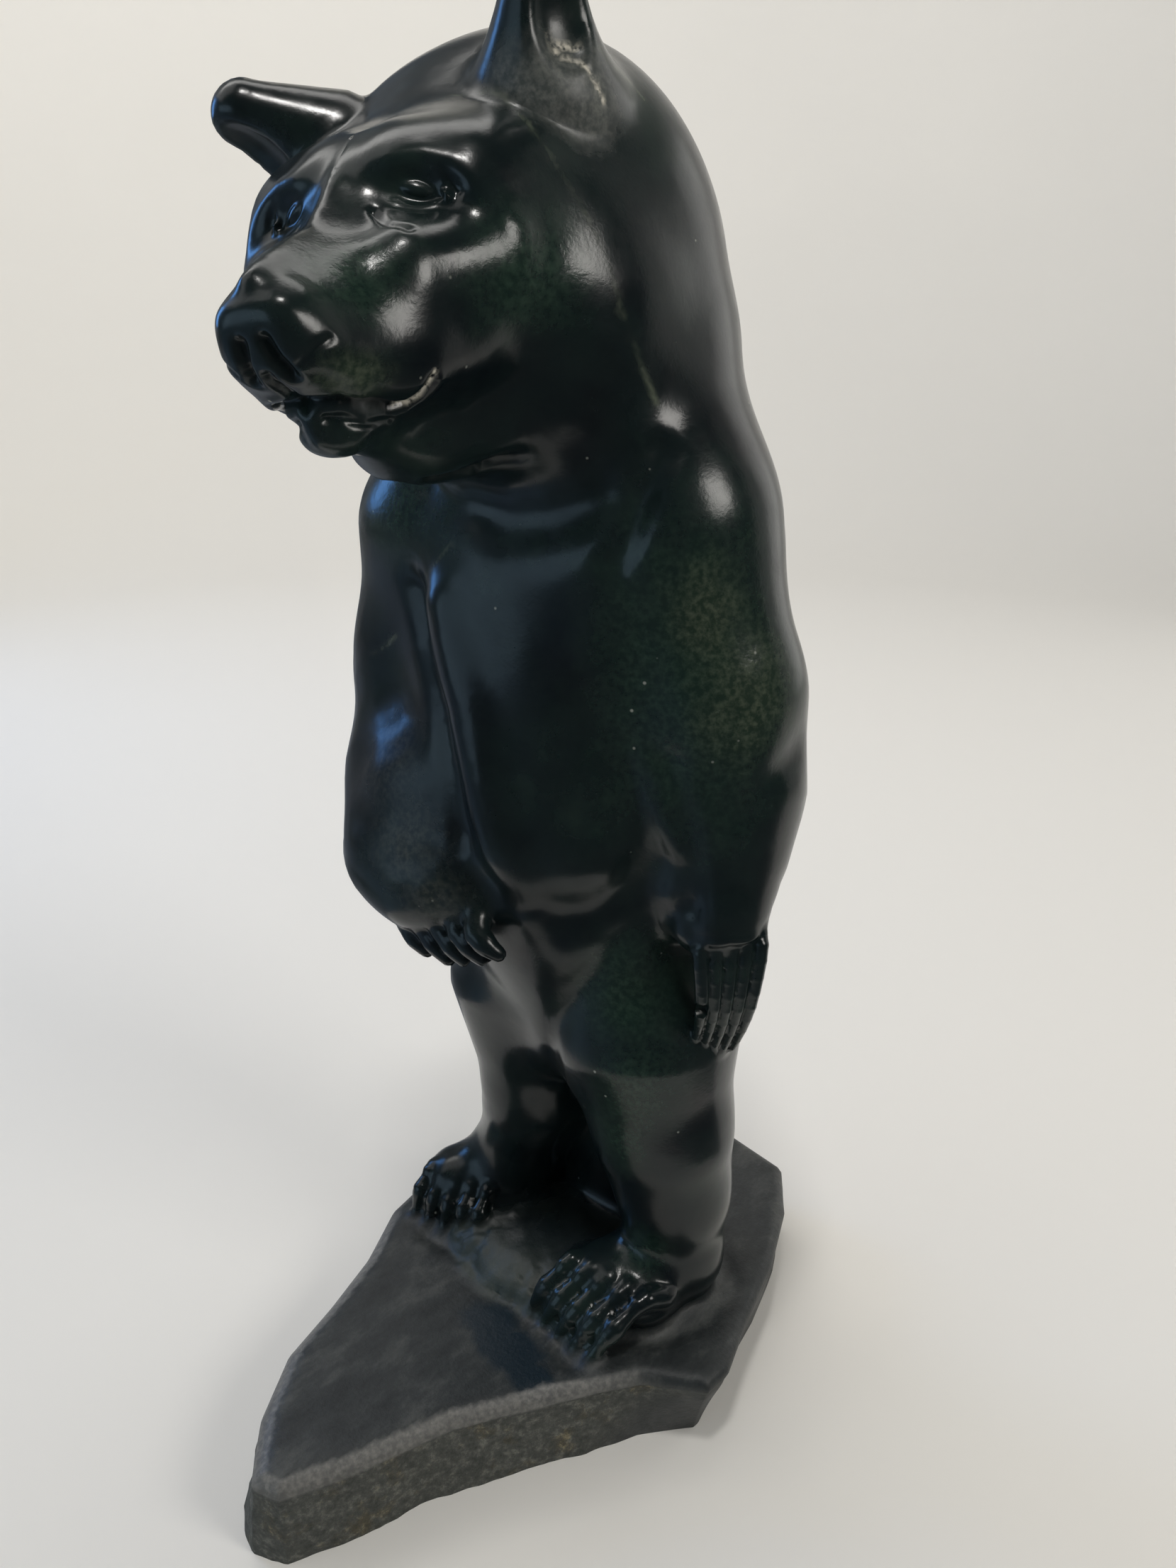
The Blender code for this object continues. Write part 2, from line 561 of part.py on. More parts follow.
def filling():
    """Centres and radii of balls that fill the figure roughly."""
    balls = [(np.array(NAPE[0]), np.array(NAPE[1]))]
    for low, high in zip(TORSO, TORSO[1:]):
        for t in (0.0, 0.5):
            z, x, y, a, b = np.array(low) + (np.array(high) - np.array(low)) * t
            balls.append((np.array([x, y, z]), np.array([a, b, 2.0])))
    balls += [(np.array(c), np.array(r)) for c, r in (WEB, MOUND)]
    for limbs in (LEGS, FEET, ARMS):
        for beads in limbs.values():
            for (a, ra), (b, rb) in zip(beads, beads[1:]):
                balls += [(c, np.full(3, r)) for c, r in beads_along(a, b, ra, rb)]
    for first, last, first_tip, last_tip, *_ in DIGITS.values():
        for share in np.linspace(0.0, 1.0, 2 * DIGIT_COUNT - 1):
            knuckle = np.array(first) + (np.array(last) - np.array(first)) * share
            tip = np.array(first_tip) + (np.array(last_tip) - np.array(first_tip)) * share
            balls += [(c, np.full(3, r)) for c, r in beads_along(knuckle, tip, 0.35, 0.3)]
    head_balls = [(np.array([0.0, y, z]), np.array([a, 1.5, b])) for y, _, z, a, b in FACE[2:]]
    head_balls += [(np.array([0.0, FACE[1][0], FACE[1][2]]), np.full(3, 0.9))]
    for side in (1.0, -1.0):
        flip = np.array([side, 1.0, 1.0])
        for (a, ra), (b, rb) in zip(JAW, JAW[1:]):
            head_balls += [(c * flip, np.full(3, r)) for c, r in beads_along(a, b, ra, rb)]
    for centre, turn in EARS.values():
        for c, r in beads_along(EAR_BASE[0], EAR_TIP[0], EAR_BASE[1], EAR_TIP[1]):
            head_balls += [(np.array(centre) + turned(turn) @ c, np.full(3, r))]
    balls += [(HEAD_PLACE + HEAD_AXES @ c, r) for c, r in head_balls]
    return balls


def rough_block(voxel):
    """The figure roughed out from one ball set many times and the slab's prism, fused by a voxel Remesh."""
    bm = bmesh.new()
    bmesh.ops.create_icosphere(bm, subdivisions=2, radius=1.0)
    ball_points = np.array([v.co for v in bm.verts])
    ball_faces = np.array([[v.index for v in f.verts] for f in bm.faces])
    bm.clear()
    bottom = -SLAB_THICKNESS / SCALE - BELOW_GROUND
    outline = bm.faces.new([bm.verts.new((x, y, bottom)) for x, y in slab_corners()])
    up = bmesh.ops.extrude_face_region(bm, geom=[outline])
    for vert in up["geom"]:
        if isinstance(vert, bmesh.types.BMVert):
            vert.co.z = 0.0
    bmesh.ops.recalc_face_normals(bm, faces=bm.faces)
    bm.verts.index_update()
    points = [v.co[:] for v in bm.verts]
    faces = [[v.index for v in f.verts] for f in bm.faces]
    bm.free()
    for centre, radii in filling():
        faces += (ball_faces + len(points)).tolist()
        points += (ball_points * radii + centre).tolist()
    mesh = bpy.data.meshes.new("rough")
    mesh.from_pydata(points, [], faces)
    return made_with(mesh, "REMESH", {"mode": "VOXEL", "voxel_size": voxel})


def points_of(mesh):
    p = np.empty(len(mesh.vertices) * 3, np.float32)
    mesh.vertices.foreach_get("co", p)
    return p.reshape(-1, 3).astype(float)


def evened(mesh, p, shape, rounds=3):
    """Slides points along the surface towards the middle of their neighbours."""
    edges = np.empty(len(mesh.edges) * 2, np.int32)
    mesh.edges.foreach_get("vertices", edges)
    edges = edges.reshape(-1, 2)
    count = np.bincount(edges.ravel(), minlength=len(p)).astype(float)
    for _ in range(rounds):
        middle = np.zeros_like(p)
        for axis in range(3):
            middle[:, axis] = np.bincount(edges[:, 0], p[edges[:, 1], axis], len(p))
            middle[:, axis] += np.bincount(edges[:, 1], p[edges[:, 0], axis], len(p))
        move = middle / count[:, None] - p
        n = directions(shape, p)
        p = p + 0.5 * (move - n * (move * n).sum(axis=1)[:, None])
    return settle(shape, p, 2)


def in_places(p):
    inside = np.zeros(len(p), bool)
    for low, high in FINE_PLACES:
        inside |= np.all((p > np.array(low)) & (p < np.array(high)), axis=1)
    return inside


def refine(mesh):
    """Halves the edges that lie in the fine places."""
    bm = bmesh.new()
    bm.from_mesh(mesh)
    inside = in_places(points_of(mesh))
    edges = [e for e in bm.edges if inside[e.verts[0].index] and inside[e.verts[1].index]]
    bmesh.ops.subdivide_edges(bm, edges=edges, cuts=1, use_grid_fill=True)
    bm.to_mesh(mesh)
    bm.free()


def put_points(mesh, p):
    mesh.vertices.foreach_set("co", p.astype(np.float32).ravel())
    mesh.update()


def made_with(mesh, kind, settings):
    """The mesh after one modifier."""
    block = bpy.data.objects.new("block", mesh)
    bpy.context.scene.collection.objects.link(block)
    modifier = block.modifiers.new("step", kind)
    for name, value in settings.items():
        setattr(modifier, name, value)
    bpy.context.view_layer.update()
    made = bpy.data.meshes.new_from_object(block.evaluated_get(bpy.context.evaluated_depsgraph_get()))
    bpy.data.objects.remove(block)
    return made


def stand_flat(mesh):
    """Cuts the mesh off level with the ground and sets it over the origin."""
    bm = bmesh.new()
    bm.from_mesh(mesh)
    for vert in bm.verts:
        if abs(vert.co.z) < FLAT_REACH:
            vert.co.z = 0.0
    everything = bm.verts[:] + bm.edges[:] + bm.faces[:]
    bmesh.ops.bisect_plane(bm, geom=everything, plane_co=(0, 0, 0), plane_no=(0, 0, 1), clear_inner=True)
    rim = [e for e in bm.edges if e.is_boundary]
    bmesh.ops.holes_fill(bm, edges=rim, sides=0)
    bmesh.ops.triangulate(bm, faces=bm.faces)
    low = [min(v.co[axis] for v in bm.verts) for axis in range(3)]
    high = [max(v.co[axis] for v in bm.verts) for axis in range(3)]
    bmesh.ops.translate(bm, verts=bm.verts, vec=(-(low[0] + high[0]) / 2, -(low[1] + high[1]) / 2, 0.0))
    bmesh.ops.recalc_face_normals(bm, faces=bm.faces)
    bm.to_mesh(mesh)
    bm.free()


def jade():
    material = bpy.data.materials.new("jade")
    material.use_nodes = True
    shader = material.node_tree.nodes["Principled BSDF"]
    shader.inputs["Base Color"].default_value = (0.012, 0.024, 0.018, 1.0)
    shader.inputs["Roughness"].default_value = 0.25
    return material


def carve(voxel=VOXEL):
    mesh = rough_block(voxel)
    p = settle(carving, points_of(mesh), 4)
    p = evened(mesh, p, carving)
    put_points(mesh, p)
    refine(mesh)
    p = points_of(mesh)
    fine = in_places(p)
    p[fine] = settle(carving, p[fine], 4)
    p = evened(mesh, p, carving, 1)
    lowered = strokes(p)
    cut = np.abs(lowered) > 1e-4
    p[cut] -= directions(carving, p[cut]) * lowered[cut, None]
    p[:, 2] += SLAB_THICKNESS / SCALE
    put_points(mesh, p * SCALE)
    return mesh


def main():
    for obj in list(bpy.data.objects):
        bpy.data.objects.remove(obj)
    home = bpy.data.collections.new("jade bear carving")
    bpy.context.scene.collection.children.link(home)
    mesh = carve()
    triangles = sum(len(face.vertices) - 2 for face in mesh.polygons)
    mesh = made_with(mesh, "DECIMATE", {"ratio": TRIANGLES / triangles})
    stand_flat(mesh)
    mesh.materials.append(jade())
    mesh.shade_smooth()
    obj = bpy.data.objects.new("bear_carving", mesh)
    home.objects.link(obj)
    return obj


main()
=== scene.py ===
"""The looks of the jade bear carving: its fine carving, polished and ground stone, and a plain pale studio.

The figure is drawn in centimetres, the bear facing -Y with its left side at +X, and drawn heights are
above the slab's top. The fine mesh follows the same form as the solid and is set into the solid's box.
"""

import math

import bmesh
import bpy
import numpy as np
from mathutils import Euler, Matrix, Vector, noise

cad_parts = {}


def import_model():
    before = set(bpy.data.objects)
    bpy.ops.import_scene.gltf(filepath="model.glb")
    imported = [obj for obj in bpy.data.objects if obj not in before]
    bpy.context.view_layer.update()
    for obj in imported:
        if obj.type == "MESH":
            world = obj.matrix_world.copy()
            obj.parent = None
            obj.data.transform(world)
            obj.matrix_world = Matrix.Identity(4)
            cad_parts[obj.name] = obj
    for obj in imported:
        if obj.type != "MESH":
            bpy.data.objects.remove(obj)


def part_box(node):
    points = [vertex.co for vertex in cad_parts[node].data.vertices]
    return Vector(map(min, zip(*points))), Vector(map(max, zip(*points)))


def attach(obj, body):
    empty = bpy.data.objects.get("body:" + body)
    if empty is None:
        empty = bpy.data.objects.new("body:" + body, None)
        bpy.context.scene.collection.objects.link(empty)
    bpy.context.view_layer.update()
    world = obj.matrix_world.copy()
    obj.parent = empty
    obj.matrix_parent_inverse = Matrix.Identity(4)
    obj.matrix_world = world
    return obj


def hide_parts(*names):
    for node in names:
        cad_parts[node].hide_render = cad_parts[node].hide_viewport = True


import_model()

# The slab and the figure, in metres, as in the solid
FIGURE_HEIGHT = 0.347
SLAB_THICKNESS = 0.028
SLAB_LENGTH = 0.195
SLAB_WIDTH = 0.127
DRAWN_HEIGHT = 34.7
SCALE = FIGURE_HEIGHT / DRAWN_HEIGHT

# Mesh resolution, in drawn centimetres
VOXEL = 0.22
BELOW_GROUND = 0.6

# The camera: metres and degrees, the azimuth counted from the bear's front to its left
CAMERA_AZIMUTH = 40.0
CAMERA_PITCH = 22.0
CAMERA_HEIGHT = 0.307
CAMERA_DISTANCE = 0.300
CAMERA_SIDE = 0.008
LENS_OVER_IMAGE = 0.751
SENSOR = 36.0


# Distances: negative inside, positive outside, in drawn centimetres


def smooth_union(a, b, reach):
    h = np.maximum(reach - np.abs(a - b), 0.0) / reach
    return np.minimum(a, b) - h * h * reach / 4.0


def smooth_cut(a, b, reach):
    """a with b taken away."""
    return -smooth_union(-a, b, reach)


def ramp(value, start, end):
    """0 before start, 1 past end, smooth between."""
    t = np.clip((value - start) / (end - start), 0.0, 1.0)
    return t * t * (3.0 - 2.0 * t)


def turned(degrees):
    return np.array(Euler([math.radians(d) for d in degrees]).to_matrix())


def rounded(q, radii, squareness):
    """Distance to a rounded form about the origin; squareness 2 is an oval, more is boxier."""
    q = np.abs(q) / radii + 1e-4
    level = (q**squareness).sum(axis=1) ** (1.0 / squareness)
    steep = np.linalg.norm(q ** (squareness - 1.0) / radii, axis=1) / level ** (squareness - 1.0)
    return (level - 1.0) / steep


def ball(p, centre, radii, turn=None, squareness=2.0):
    """Distance to an oval ball, turned by degrees about X, Y and Z."""
    q = p - np.array(centre)
    if turn:
        q = q @ turned(turn)
    return rounded(q, np.array(radii), squareness)


def limb(p, start, end, start_radius, end_radius):
    """Distance to a tapered rod with round ends."""
    a = np.array(start, float)
    along = np.array(end, float) - a
    t = np.clip((p - a) @ along / (along @ along), 0.0, 1.0)
    radius = start_radius + (end_radius - start_radius) * t
    return np.linalg.norm(p - a - t[:, None] * along, axis=1) - radius


def chain(p, beads, reach):
    """Tapered rods through the beads, blended."""
    d = None
    for (a, ra), (b, rb) in zip(beads, beads[1:]):
        rod = limb(p, a, b, ra, rb)
        d = rod if d is None else smooth_union(d, rod, reach)
    return d


def near_points(p, points, margin):
    line = np.array(points)
    low, high = line.min(axis=0) - margin, line.max(axis=0) + margin
    return np.all((p > low) & (p < high), axis=1)


def furrow(p, points, width, depth):
    """How far a furrow along the points lowers the surface; a negative depth raises a ridge."""
    close = near_points(p, points, 3.0 * width)
    lowered = np.zeros(len(p))
    q = p[close]
    off = np.min([limb(q, a, b, 0.0, 0.0) for a, b in zip(points, points[1:])], axis=0)
    lowered[close] = depth * np.exp(-((off / width) ** 2))
    return lowered


def dent(p, centre, radii, depth, turn=None):
    """How far a round dent lowers the surface; a negative depth raises a swelling."""
    close = near_points(p, [centre], 2.5 * max(radii))
    lowered = np.zeros(len(p))
    q = p[close] - np.array(centre)
    if turn:
        q = q @ turned(turn)
    lowered[close] = depth * np.exp(-((q / np.array(radii)) ** 2).sum(axis=1))
    return lowered


def mirrored(p):
    return np.column_stack([np.abs(p[:, 0]), p[:, 1:]])


def smooth_curve(t, rows):
    """A smooth curve through rows of (position, values...), read at each t."""
    rows = np.array(rows, float)
    knots, values = rows[:, 0], rows[:, 1:]
    t = np.clip(t, knots[0], knots[-1])
    slopes = np.gradient(values, knots, axis=0)
    i = np.clip(np.searchsorted(knots, t) - 1, 0, len(knots) - 2)
    span = knots[i + 1] - knots[i]
    u = ((t - knots[i]) / span)[:, None]
    span = span[:, None]
    rise = (2 * u**3 - 3 * u**2 + 1) * values[i] + (3 * u**2 - 2 * u**3) * values[i + 1]
    return rise + span * ((u**3 - 2 * u**2 + u) * slopes[i] + (u**3 - u**2) * slopes[i + 1])


def loft(p, rows, blunt, squareness=2.0):
    """Distance to a column with an oval section at each height: (height, x, y, half width, half depth)."""
    section = smooth_curve(p[:, 2], rows)
    side = rounded(p[:, :2] - section[:, :2], section[:, 2:4], squareness)
    past = np.maximum(p[:, 2] - rows[-1][0], rows[0][0] - p[:, 2])
    return -smooth_union(-side, -past, blunt)


# Torso and neck, legs, feet and arms

TORSO = [
    (6.5, 0.9, 1.5, 2.6, 2.6),
    (9.5, 0.8, 1.2, 3.7, 3.2),
    (12.5, 0.3, 0.6, 4.1, 3.7),
    (15.5, 0.1, 0.2, 4.2, 4.0),
    (19.0, 0.0, 0.3, 4.1, 3.8),
    (22.0, 0.0, 0.6, 4.3, 3.7),
    (24.5, -0.05, 0.85, 4.25, 3.75),
    (27.0, -0.2, 0.95, 4.1, 3.95),
    (29.0, -0.25, 0.85, 3.9, 3.85),
]
TORSO_BLUNT = 2.0
NAPE = ((-0.35, 0.65, 28.0), (4.0, 4.0, 5.35))
LEGS = {
    "left": [((2.9, 0.4, 9.0), 2.7), ((3.45, 0.5, 5.8), 1.85), ((3.75, 0.7, 3.6), 1.5),
             ((3.9, 0.8, 2.0), 1.3)],
    "right": [((-1.8, 0.4, 9.0), 2.3), ((-1.5, 0.5, 4.8), 1.5), ((-2.4, 0.6, 2.2), 1.45)],
}
FEET = {
    "left": [((3.95, 0.8, 0.9), 1.25), ((2.8, -1.2, 0.8), 0.95), ((3.9, -1.0, 0.8), 0.95)],
    "right": [((-2.8, 0.6, 1.0), 1.25), ((-3.8, -0.9, 0.75), 0.9), ((-2.7, -0.5, 0.75), 0.95)],
}
WEB = ((0.5, 1.9, 4.0), (2.0, 0.9, 6.0))
MOUND = ((0.0, -0.5, 0.0), (3.5, 2.7, 0.9))
ARMS = {
    "left": [((3.45, 0.6, 23.0), 2.1), ((4.1, 0.9, 19.0), 2.15), ((4.25, 1.0, 16.2), 2.1),
             ((4.9, 0.3, 14.2), 1.3), ((5.4, -0.1, 13.6), 0.9)],
    "right": [((-4.1, -0.1, 22.4), 2.2), ((-4.45, -0.1, 18.6), 2.05), ((-4.0, -1.4, 15.3), 1.85),
              ((-3.1, -3.0, 13.9), 1.25), ((-1.8, -3.3, 13.6), 1.05), ((-0.2, -3.2, 13.75), 0.9)],
    "inner right": [((-3.9, -0.7, 18.6), 1.3), ((-2.5, -2.35, 16.0), 1.3), ((-1.2, -3.2, 14.3), 1.1)],
}

# Fingers and toes: the first and the last knuckle, the first and the last claw tip, the way back from a
# knuckle to its root, the bow of a digit's middle, the radius of a tip, how much further the middle digits
# reach, and how far their joints stand out

DIGITS = {
    "left foot": ((2.0, -1.95, 1.55), (4.5, -1.6, 1.4), (1.4, -3.05, 0.15), (3.85, -3.2, 0.15),
                  (0.3, 0.7, -0.2), (0.0, -0.15, 0.1), 0.13, 0.1, 1.6),
    "right foot": ((-4.4, -1.55, 1.3), (-2.2, -1.1, 1.35), (-4.35, -2.4, 0.15), (-1.95, -2.05, 0.15),
                   (0.1, 0.6, -0.2), (0.0, -0.15, 0.1), 0.12, 0.1, 1.6),
    "left hand": ((5.6, -1.1, 12.9), (6.6, 0.1, 13.0), (5.2, -0.55, 10.1), (5.65, 0.5, 9.4),
                  (-0.3, 0.3, 0.5), (0.25, -0.2, 0.0), 0.1, 0.1, 0.1),
    "right hand": ((-2.1, -3.8, 12.4), (0.6, -3.9, 13.1), (-1.4, -3.85, 11.75), (1.25, -3.8, 12.6),
                   (-0.3, 0.4, 0.7), (0.0, -0.1, 0.0), 0.2, 0.4, 0.2),
}
# Along a digit from its knuckle: the share of its length, and of the bow, fullness and joints there
DIGIT_FORM = [(0.0, 0.0, 1.0, 0.0), (0.25, 0.7, 0.95, -0.15), (0.5, 1.0, 0.85, 0.1), (0.75, 0.7, 0.7, 0.0)]
DIGIT_COUNT = 5
DIGIT_FULLNESS = 0.5
DIGIT_STEPS = 11
DIGIT_REACH = 0.02
DIGIT_GAP_REACH = 0.06

# The head in its own frame: snout along -Y, crown at +Z, right half mirrored from the left

HEAD_PLACE = np.array([-1.0, -2.4, 29.1])
HEAD_AXES = turned((6.0, -8.0, 16.0))
FACE = [
    (-7.5, 0.0, -0.95, 0.8, 0.55),
    (-7.1, 0.0, -0.95, 1.15, 0.9),
    (-6.5, 0.0, -1.05, 1.35, 1.25),
    (-5.8, 0.0, -1.1, 1.6, 1.5),
    (-5.0, 0.0, -1.15, 1.9, 1.75),
    (-4.2, 0.0, -1.0, 2.2, 2.05),
    (-3.3, 0.0, -0.8, 2.7, 2.35),
    (-1.8, 0.0, -0.6, 3.35, 2.8),
    (0.0, 0.0, -0.3, 3.85, 3.45),
    (2.0, 0.0, 0.1, 4.0, 3.9),
    (3.5, 0.0, 0.0, 3.5, 3.4),
    (4.8, 0.0, -0.1, 2.0, 2.0),
]
FACE_SQUARENESS = 2.2
SNOUT_TAPER = 0.4
SNOUT_TAPER_SPAN = (2.0, 5.0)
SNOUT_MIDDLE = -1.2
SNOUT_HALF_HEIGHT = 1.8
SNOUT_BEND = 0.15
SNOUT_BEND_SPAN = (3.0, 7.0)
BROW = ((0.9, -3.0, 1.1), (2.3, -2.5, 1.0), 0.42, 0.48)
FOREHEAD = ((0.7, -1.9, 1.0), (2.2, -1.2, 1.0), 1.25, 1.15)
CHEEK = ((1.5, -4.3, -0.3), (2.5, -2.8, -0.4), 0.8, 0.7)
JAW = [((0.0, -5.8, -2.6), 0.55), ((0.0, -4.6, -2.5), 0.85), ((0.1, -3.0, -2.95), 1.35),
       ((0.5, -1.4, -3.1), 1.6), ((1.9, 0.2, -2.5), 1.4)]
NOSE_PAD = ((0.0, -7.0, -0.95), (0.95, 0.58, 0.78), (12.0, 0.0, 0.0), 3.0)
EAR_BASE = ((-0.15, 0.0, -0.9), 1.35)
EAR_TIP = ((0.1, 0.0, 1.0), 0.75)
EAR_CUP = ((1.25, 0.0, 0.6), (0.78, 0.95, 1.2))
EAR_CUP_REACH = 0.2
EARS = {
    "left": ((3.15, -0.1, 3.5), (0.0, 15.0, -37.0)),
    "right": ((-3.4, 0.0, 2.9), (29.0, 46.0, -106.0)),
}

# The full side of the neck behind the near cheek
RUFF = ((1.9, -1.6, 27.2), (1.6, 1.7, 2.6))


def to_head(p):
    return (p - HEAD_PLACE) @ HEAD_AXES


def ear(q, centre, turn):
    """A blunt tapered ear with a hollow in its outer face."""
    own = (q - np.array(centre)) @ turned(turn)
    d = limb(own, EAR_BASE[0], EAR_TIP[0], EAR_BASE[1], EAR_TIP[1])
    return smooth_cut(d, ball(own, *EAR_CUP), EAR_CUP_REACH)


LIPS = [
    ((0.0, -6.1, -2.05), (1.1, 0.65, 0.5)),
    ((0.0, -5.75, -2.85), (0.8, 0.7, 0.48)),
    ((0.0, -6.42, -2.55), (0.2, 0.22, 0.42)),
]
EYES = [(1.6, -3.62, 1.05), (-1.4, -3.66, 1.1)]
EYE_TURN = 20.0
EYE_SOCKET = ((0.0, -0.1, 0.0), (0.85, 0.9, 0.45), 0.4)
EYE_BALL = ((0.0, 0.56, -0.02), (0.55, 0.42, 0.24))


def eye_frame(q, centre):
    """The head's points seen from an eye: X outwards, -Y out of the face, Z up."""
    side = 1.0 if centre[0] > 0 else -1.0
    own = (q - np.array(centre)) @ turned((0.0, side * EYE_TURN, side * EYE_TURN))
    own[:, 0] *= side
    return own


def snout_frame(q):
    """The head's points with the snout straightened and its sides upright."""
    q = centred(q)
    snout = ramp(-q[:, 1], *SNOUT_TAPER_SPAN)
    height = np.clip((q[:, 2] - SNOUT_MIDDLE) / SNOUT_HALF_HEIGHT, -0.6, 1.0)
    q[:, 0] /= 1.0 - SNOUT_TAPER * snout * height
    return q


# How far the blends of the head's forms reach
FACE_BLUNT = 0.4
JAW_REACH = 0.8
THROAT_REACH = 0.5
NOSE_REACH = 0.3
LIP_REACH = 0.25
BONE_REACH = 1.3
EAR_REACH = 0.3
EYE_REACH = 0.06


def centred(q):
    """The head's points with the snout's bend taken out."""
    return q - SNOUT_BEND * ramp(-q[:, 1], *SNOUT_BEND_SPAN)[:, None] * np.array([1.0, 0.0, 0.0])


def head(p):
    q = to_head(p)
    m = mirrored(snout_frame(q))
    d = loft(m[:, [0, 2, 1]], FACE, FACE_BLUNT, FACE_SQUARENESS)
    m = mirrored(centred(q))
    d = smooth_union(d, chain(m, JAW, JAW_REACH), THROAT_REACH)
    d = smooth_union(d, ball(m, *NOSE_PAD), NOSE_REACH)
    for lip in LIPS:
        d = smooth_union(d, ball(m, *lip), LIP_REACH)
    for rod in (BROW, FOREHEAD, CHEEK):
        d = smooth_union(d, limb(m, *rod), BONE_REACH)
    for centre, turn in EARS.values():
        d = smooth_union(d, ear(q, centre, turn), EAR_REACH)
    for centre in EYES:
        own = eye_frame(q, centre)
        d = d + dent(own, *EYE_SOCKET)
        d = smooth_union(d, ball(own, *EYE_BALL), EYE_REACH)
    return d


def digits(p, first, last, first_tip, last_tip, root, bow, tip_radius, further, joints):
    """Five digits side by side, the middle ones reaching further, each swept along a smooth curve."""
    d = None
    ends = (first, last, first_tip, last_tip, root, bow)
    first, last, first_tip, last_tip, root, bow = (np.array(end) for end in ends)
    radius = DIGIT_FULLNESS * np.linalg.norm(last - first) / (DIGIT_COUNT - 1)
    for share in np.linspace(0.0, 1.0, DIGIT_COUNT):
        knuckle = first + (last - first) * share
        tip = first_tip + (last_tip - first_tip) * share
        reach = (tip - knuckle) * (1.0 + further * math.sin(math.pi * share))
        rows = [(-0.3, *(knuckle + root), radius)]
        for t, bowed, full, joint in DIGIT_FORM:
            rows.append((t, *(knuckle + t * reach + bowed * bow), (full + joint * joints) * radius))
        rows.append((1.0, *(knuckle + reach), tip_radius))
        curve = smooth_curve(np.linspace(rows[0][0], 1.0, DIGIT_STEPS), rows)
        digit = chain(p, [(point[:3], point[3]) for point in curve], DIGIT_REACH)
        d = digit if d is None else smooth_union(d, digit, DIGIT_GAP_REACH)
    return d


# How far each form's blend into the rest reaches; the arms' and the head's widen with height: reach below,
# further reach above, start and end height
NAPE_REACH = 0.6
LEG_REACH = 1.0
LEFT_ARM_REACH = (0.5, 2.3, 17.0, 23.0)
RIGHT_ARM_REACH = (0.9, 1.5, 17.0, 23.0)
INNER_ARM_REACH = 0.8
ARM_BEND_REACH = 1.5
WEB_REACH = 0.8
DIGIT_ROOT_REACH = 0.15
DIGIT_ROOM = 1.3
HEAD_REACH = (0.7, 1.1, 25.5, 28.5)
HEAD_ROOM = 9.5
RUFF_REACH = 1.5
GROUND_REACH = 0.5


def reach_at(p, low, more, start, end):
    return low + more * ramp(p[:, 2], start, end)


def bear(p):
    """Distance to the bear, its digits and head worked out only where they can matter."""
    d = smooth_union(loft(p, TORSO, TORSO_BLUNT), ball(p, *NAPE), NAPE_REACH)
    for side in LEGS:
        d = smooth_union(d, chain(p, LEGS[side], LEG_REACH), LEG_REACH)
        d = smooth_union(d, chain(p, FEET[side], LEG_REACH), LEG_REACH)
    left_arm = chain(p, ARMS["left"], ARM_BEND_REACH)
    d = smooth_union(d, left_arm, reach_at(p, *LEFT_ARM_REACH))
    right_arm = chain(p, ARMS["right"], ARM_BEND_REACH)
    right_arm = smooth_union(right_arm, chain(p, ARMS["inner right"], ARM_BEND_REACH), INNER_ARM_REACH)
    d = smooth_union(d, right_arm, reach_at(p, *RIGHT_ARM_REACH))
    for form in (WEB, MOUND):
        d = smooth_union(d, ball(p, *form), WEB_REACH)
    for row in DIGITS.values():
        close = near_points(p, row[:4], DIGIT_ROOM)
        d[close] = smooth_union(d[close], digits(p[close], *row), DIGIT_ROOT_REACH)
    close = near_points(p, [HEAD_PLACE], HEAD_ROOM)
    d[close] = smooth_union(d[close], head(p[close]), reach_at(p[close], *HEAD_REACH))
    return smooth_union(d, ball(p, *RUFF), RUFF_REACH)


# The slab: its outline in shares of its length and width, seen from above

SLAB_CENTRE = (0.85, -1.85)
SLAB_OUTLINE = [
    (-0.11, -0.5), (-0.04, -0.49), (0.03, -0.4), (0.11, -0.27), (0.23, -0.15), (0.35, -0.05), (0.49, 0.0),
    (0.5, 0.05), (0.45, 0.15), (0.4, 0.27), (0.32, 0.39), (0.22, 0.48), (0.03, 0.5), (-0.19, 0.46),
    (-0.38, 0.35), (-0.48, 0.18), (-0.5, 0.04), (-0.48, -0.04), (-0.4, -0.14), (-0.35, -0.24),
    (-0.31, -0.34), (-0.22, -0.43),
]
SLAB_BEVEL = 0.25
BEVEL_REACH = 0.15
LEFT_LEAN = 0.45
LEFT_LEAN_SPAN = (3.5, 7.0)
RIGHT_LEAN = 0.25
RIGHT_LEAN_SPAN = (-0.5, 2.0)


def slab_corners():
    return [
        (SLAB_CENTRE[0] + x * SLAB_WIDTH / SCALE, SLAB_CENTRE[1] + y * SLAB_LENGTH / SCALE)
        for x, y in SLAB_OUTLINE
    ]


def inside_outline(p):
    """Signed distance to the slab's outline, negative inside, looking straight down."""
    corners = slab_corners()
    flat = p[:, :2]
    nearest = np.full(len(p), np.inf)
    sign = np.ones(len(p))
    for a, b in zip(corners, corners[1:] + corners[:1]):
        a, b = np.array(a), np.array(b)
        edge = b - a
        w = flat - a
        t = np.clip(w @ edge / (edge @ edge), 0.0, 1.0)
        nearest = np.minimum(nearest, np.linalg.norm(w - t[:, None] * edge, axis=1))
        above = flat[:, 1] >= a[1]
        below_next = flat[:, 1] < b[1]
        left = edge[0] * w[:, 1] > edge[1] * w[:, 0]
        crossing = (above & below_next & left) | (~above & ~below_next & ~left)
        sign = np.where(crossing, -sign, sign)
    return nearest * sign


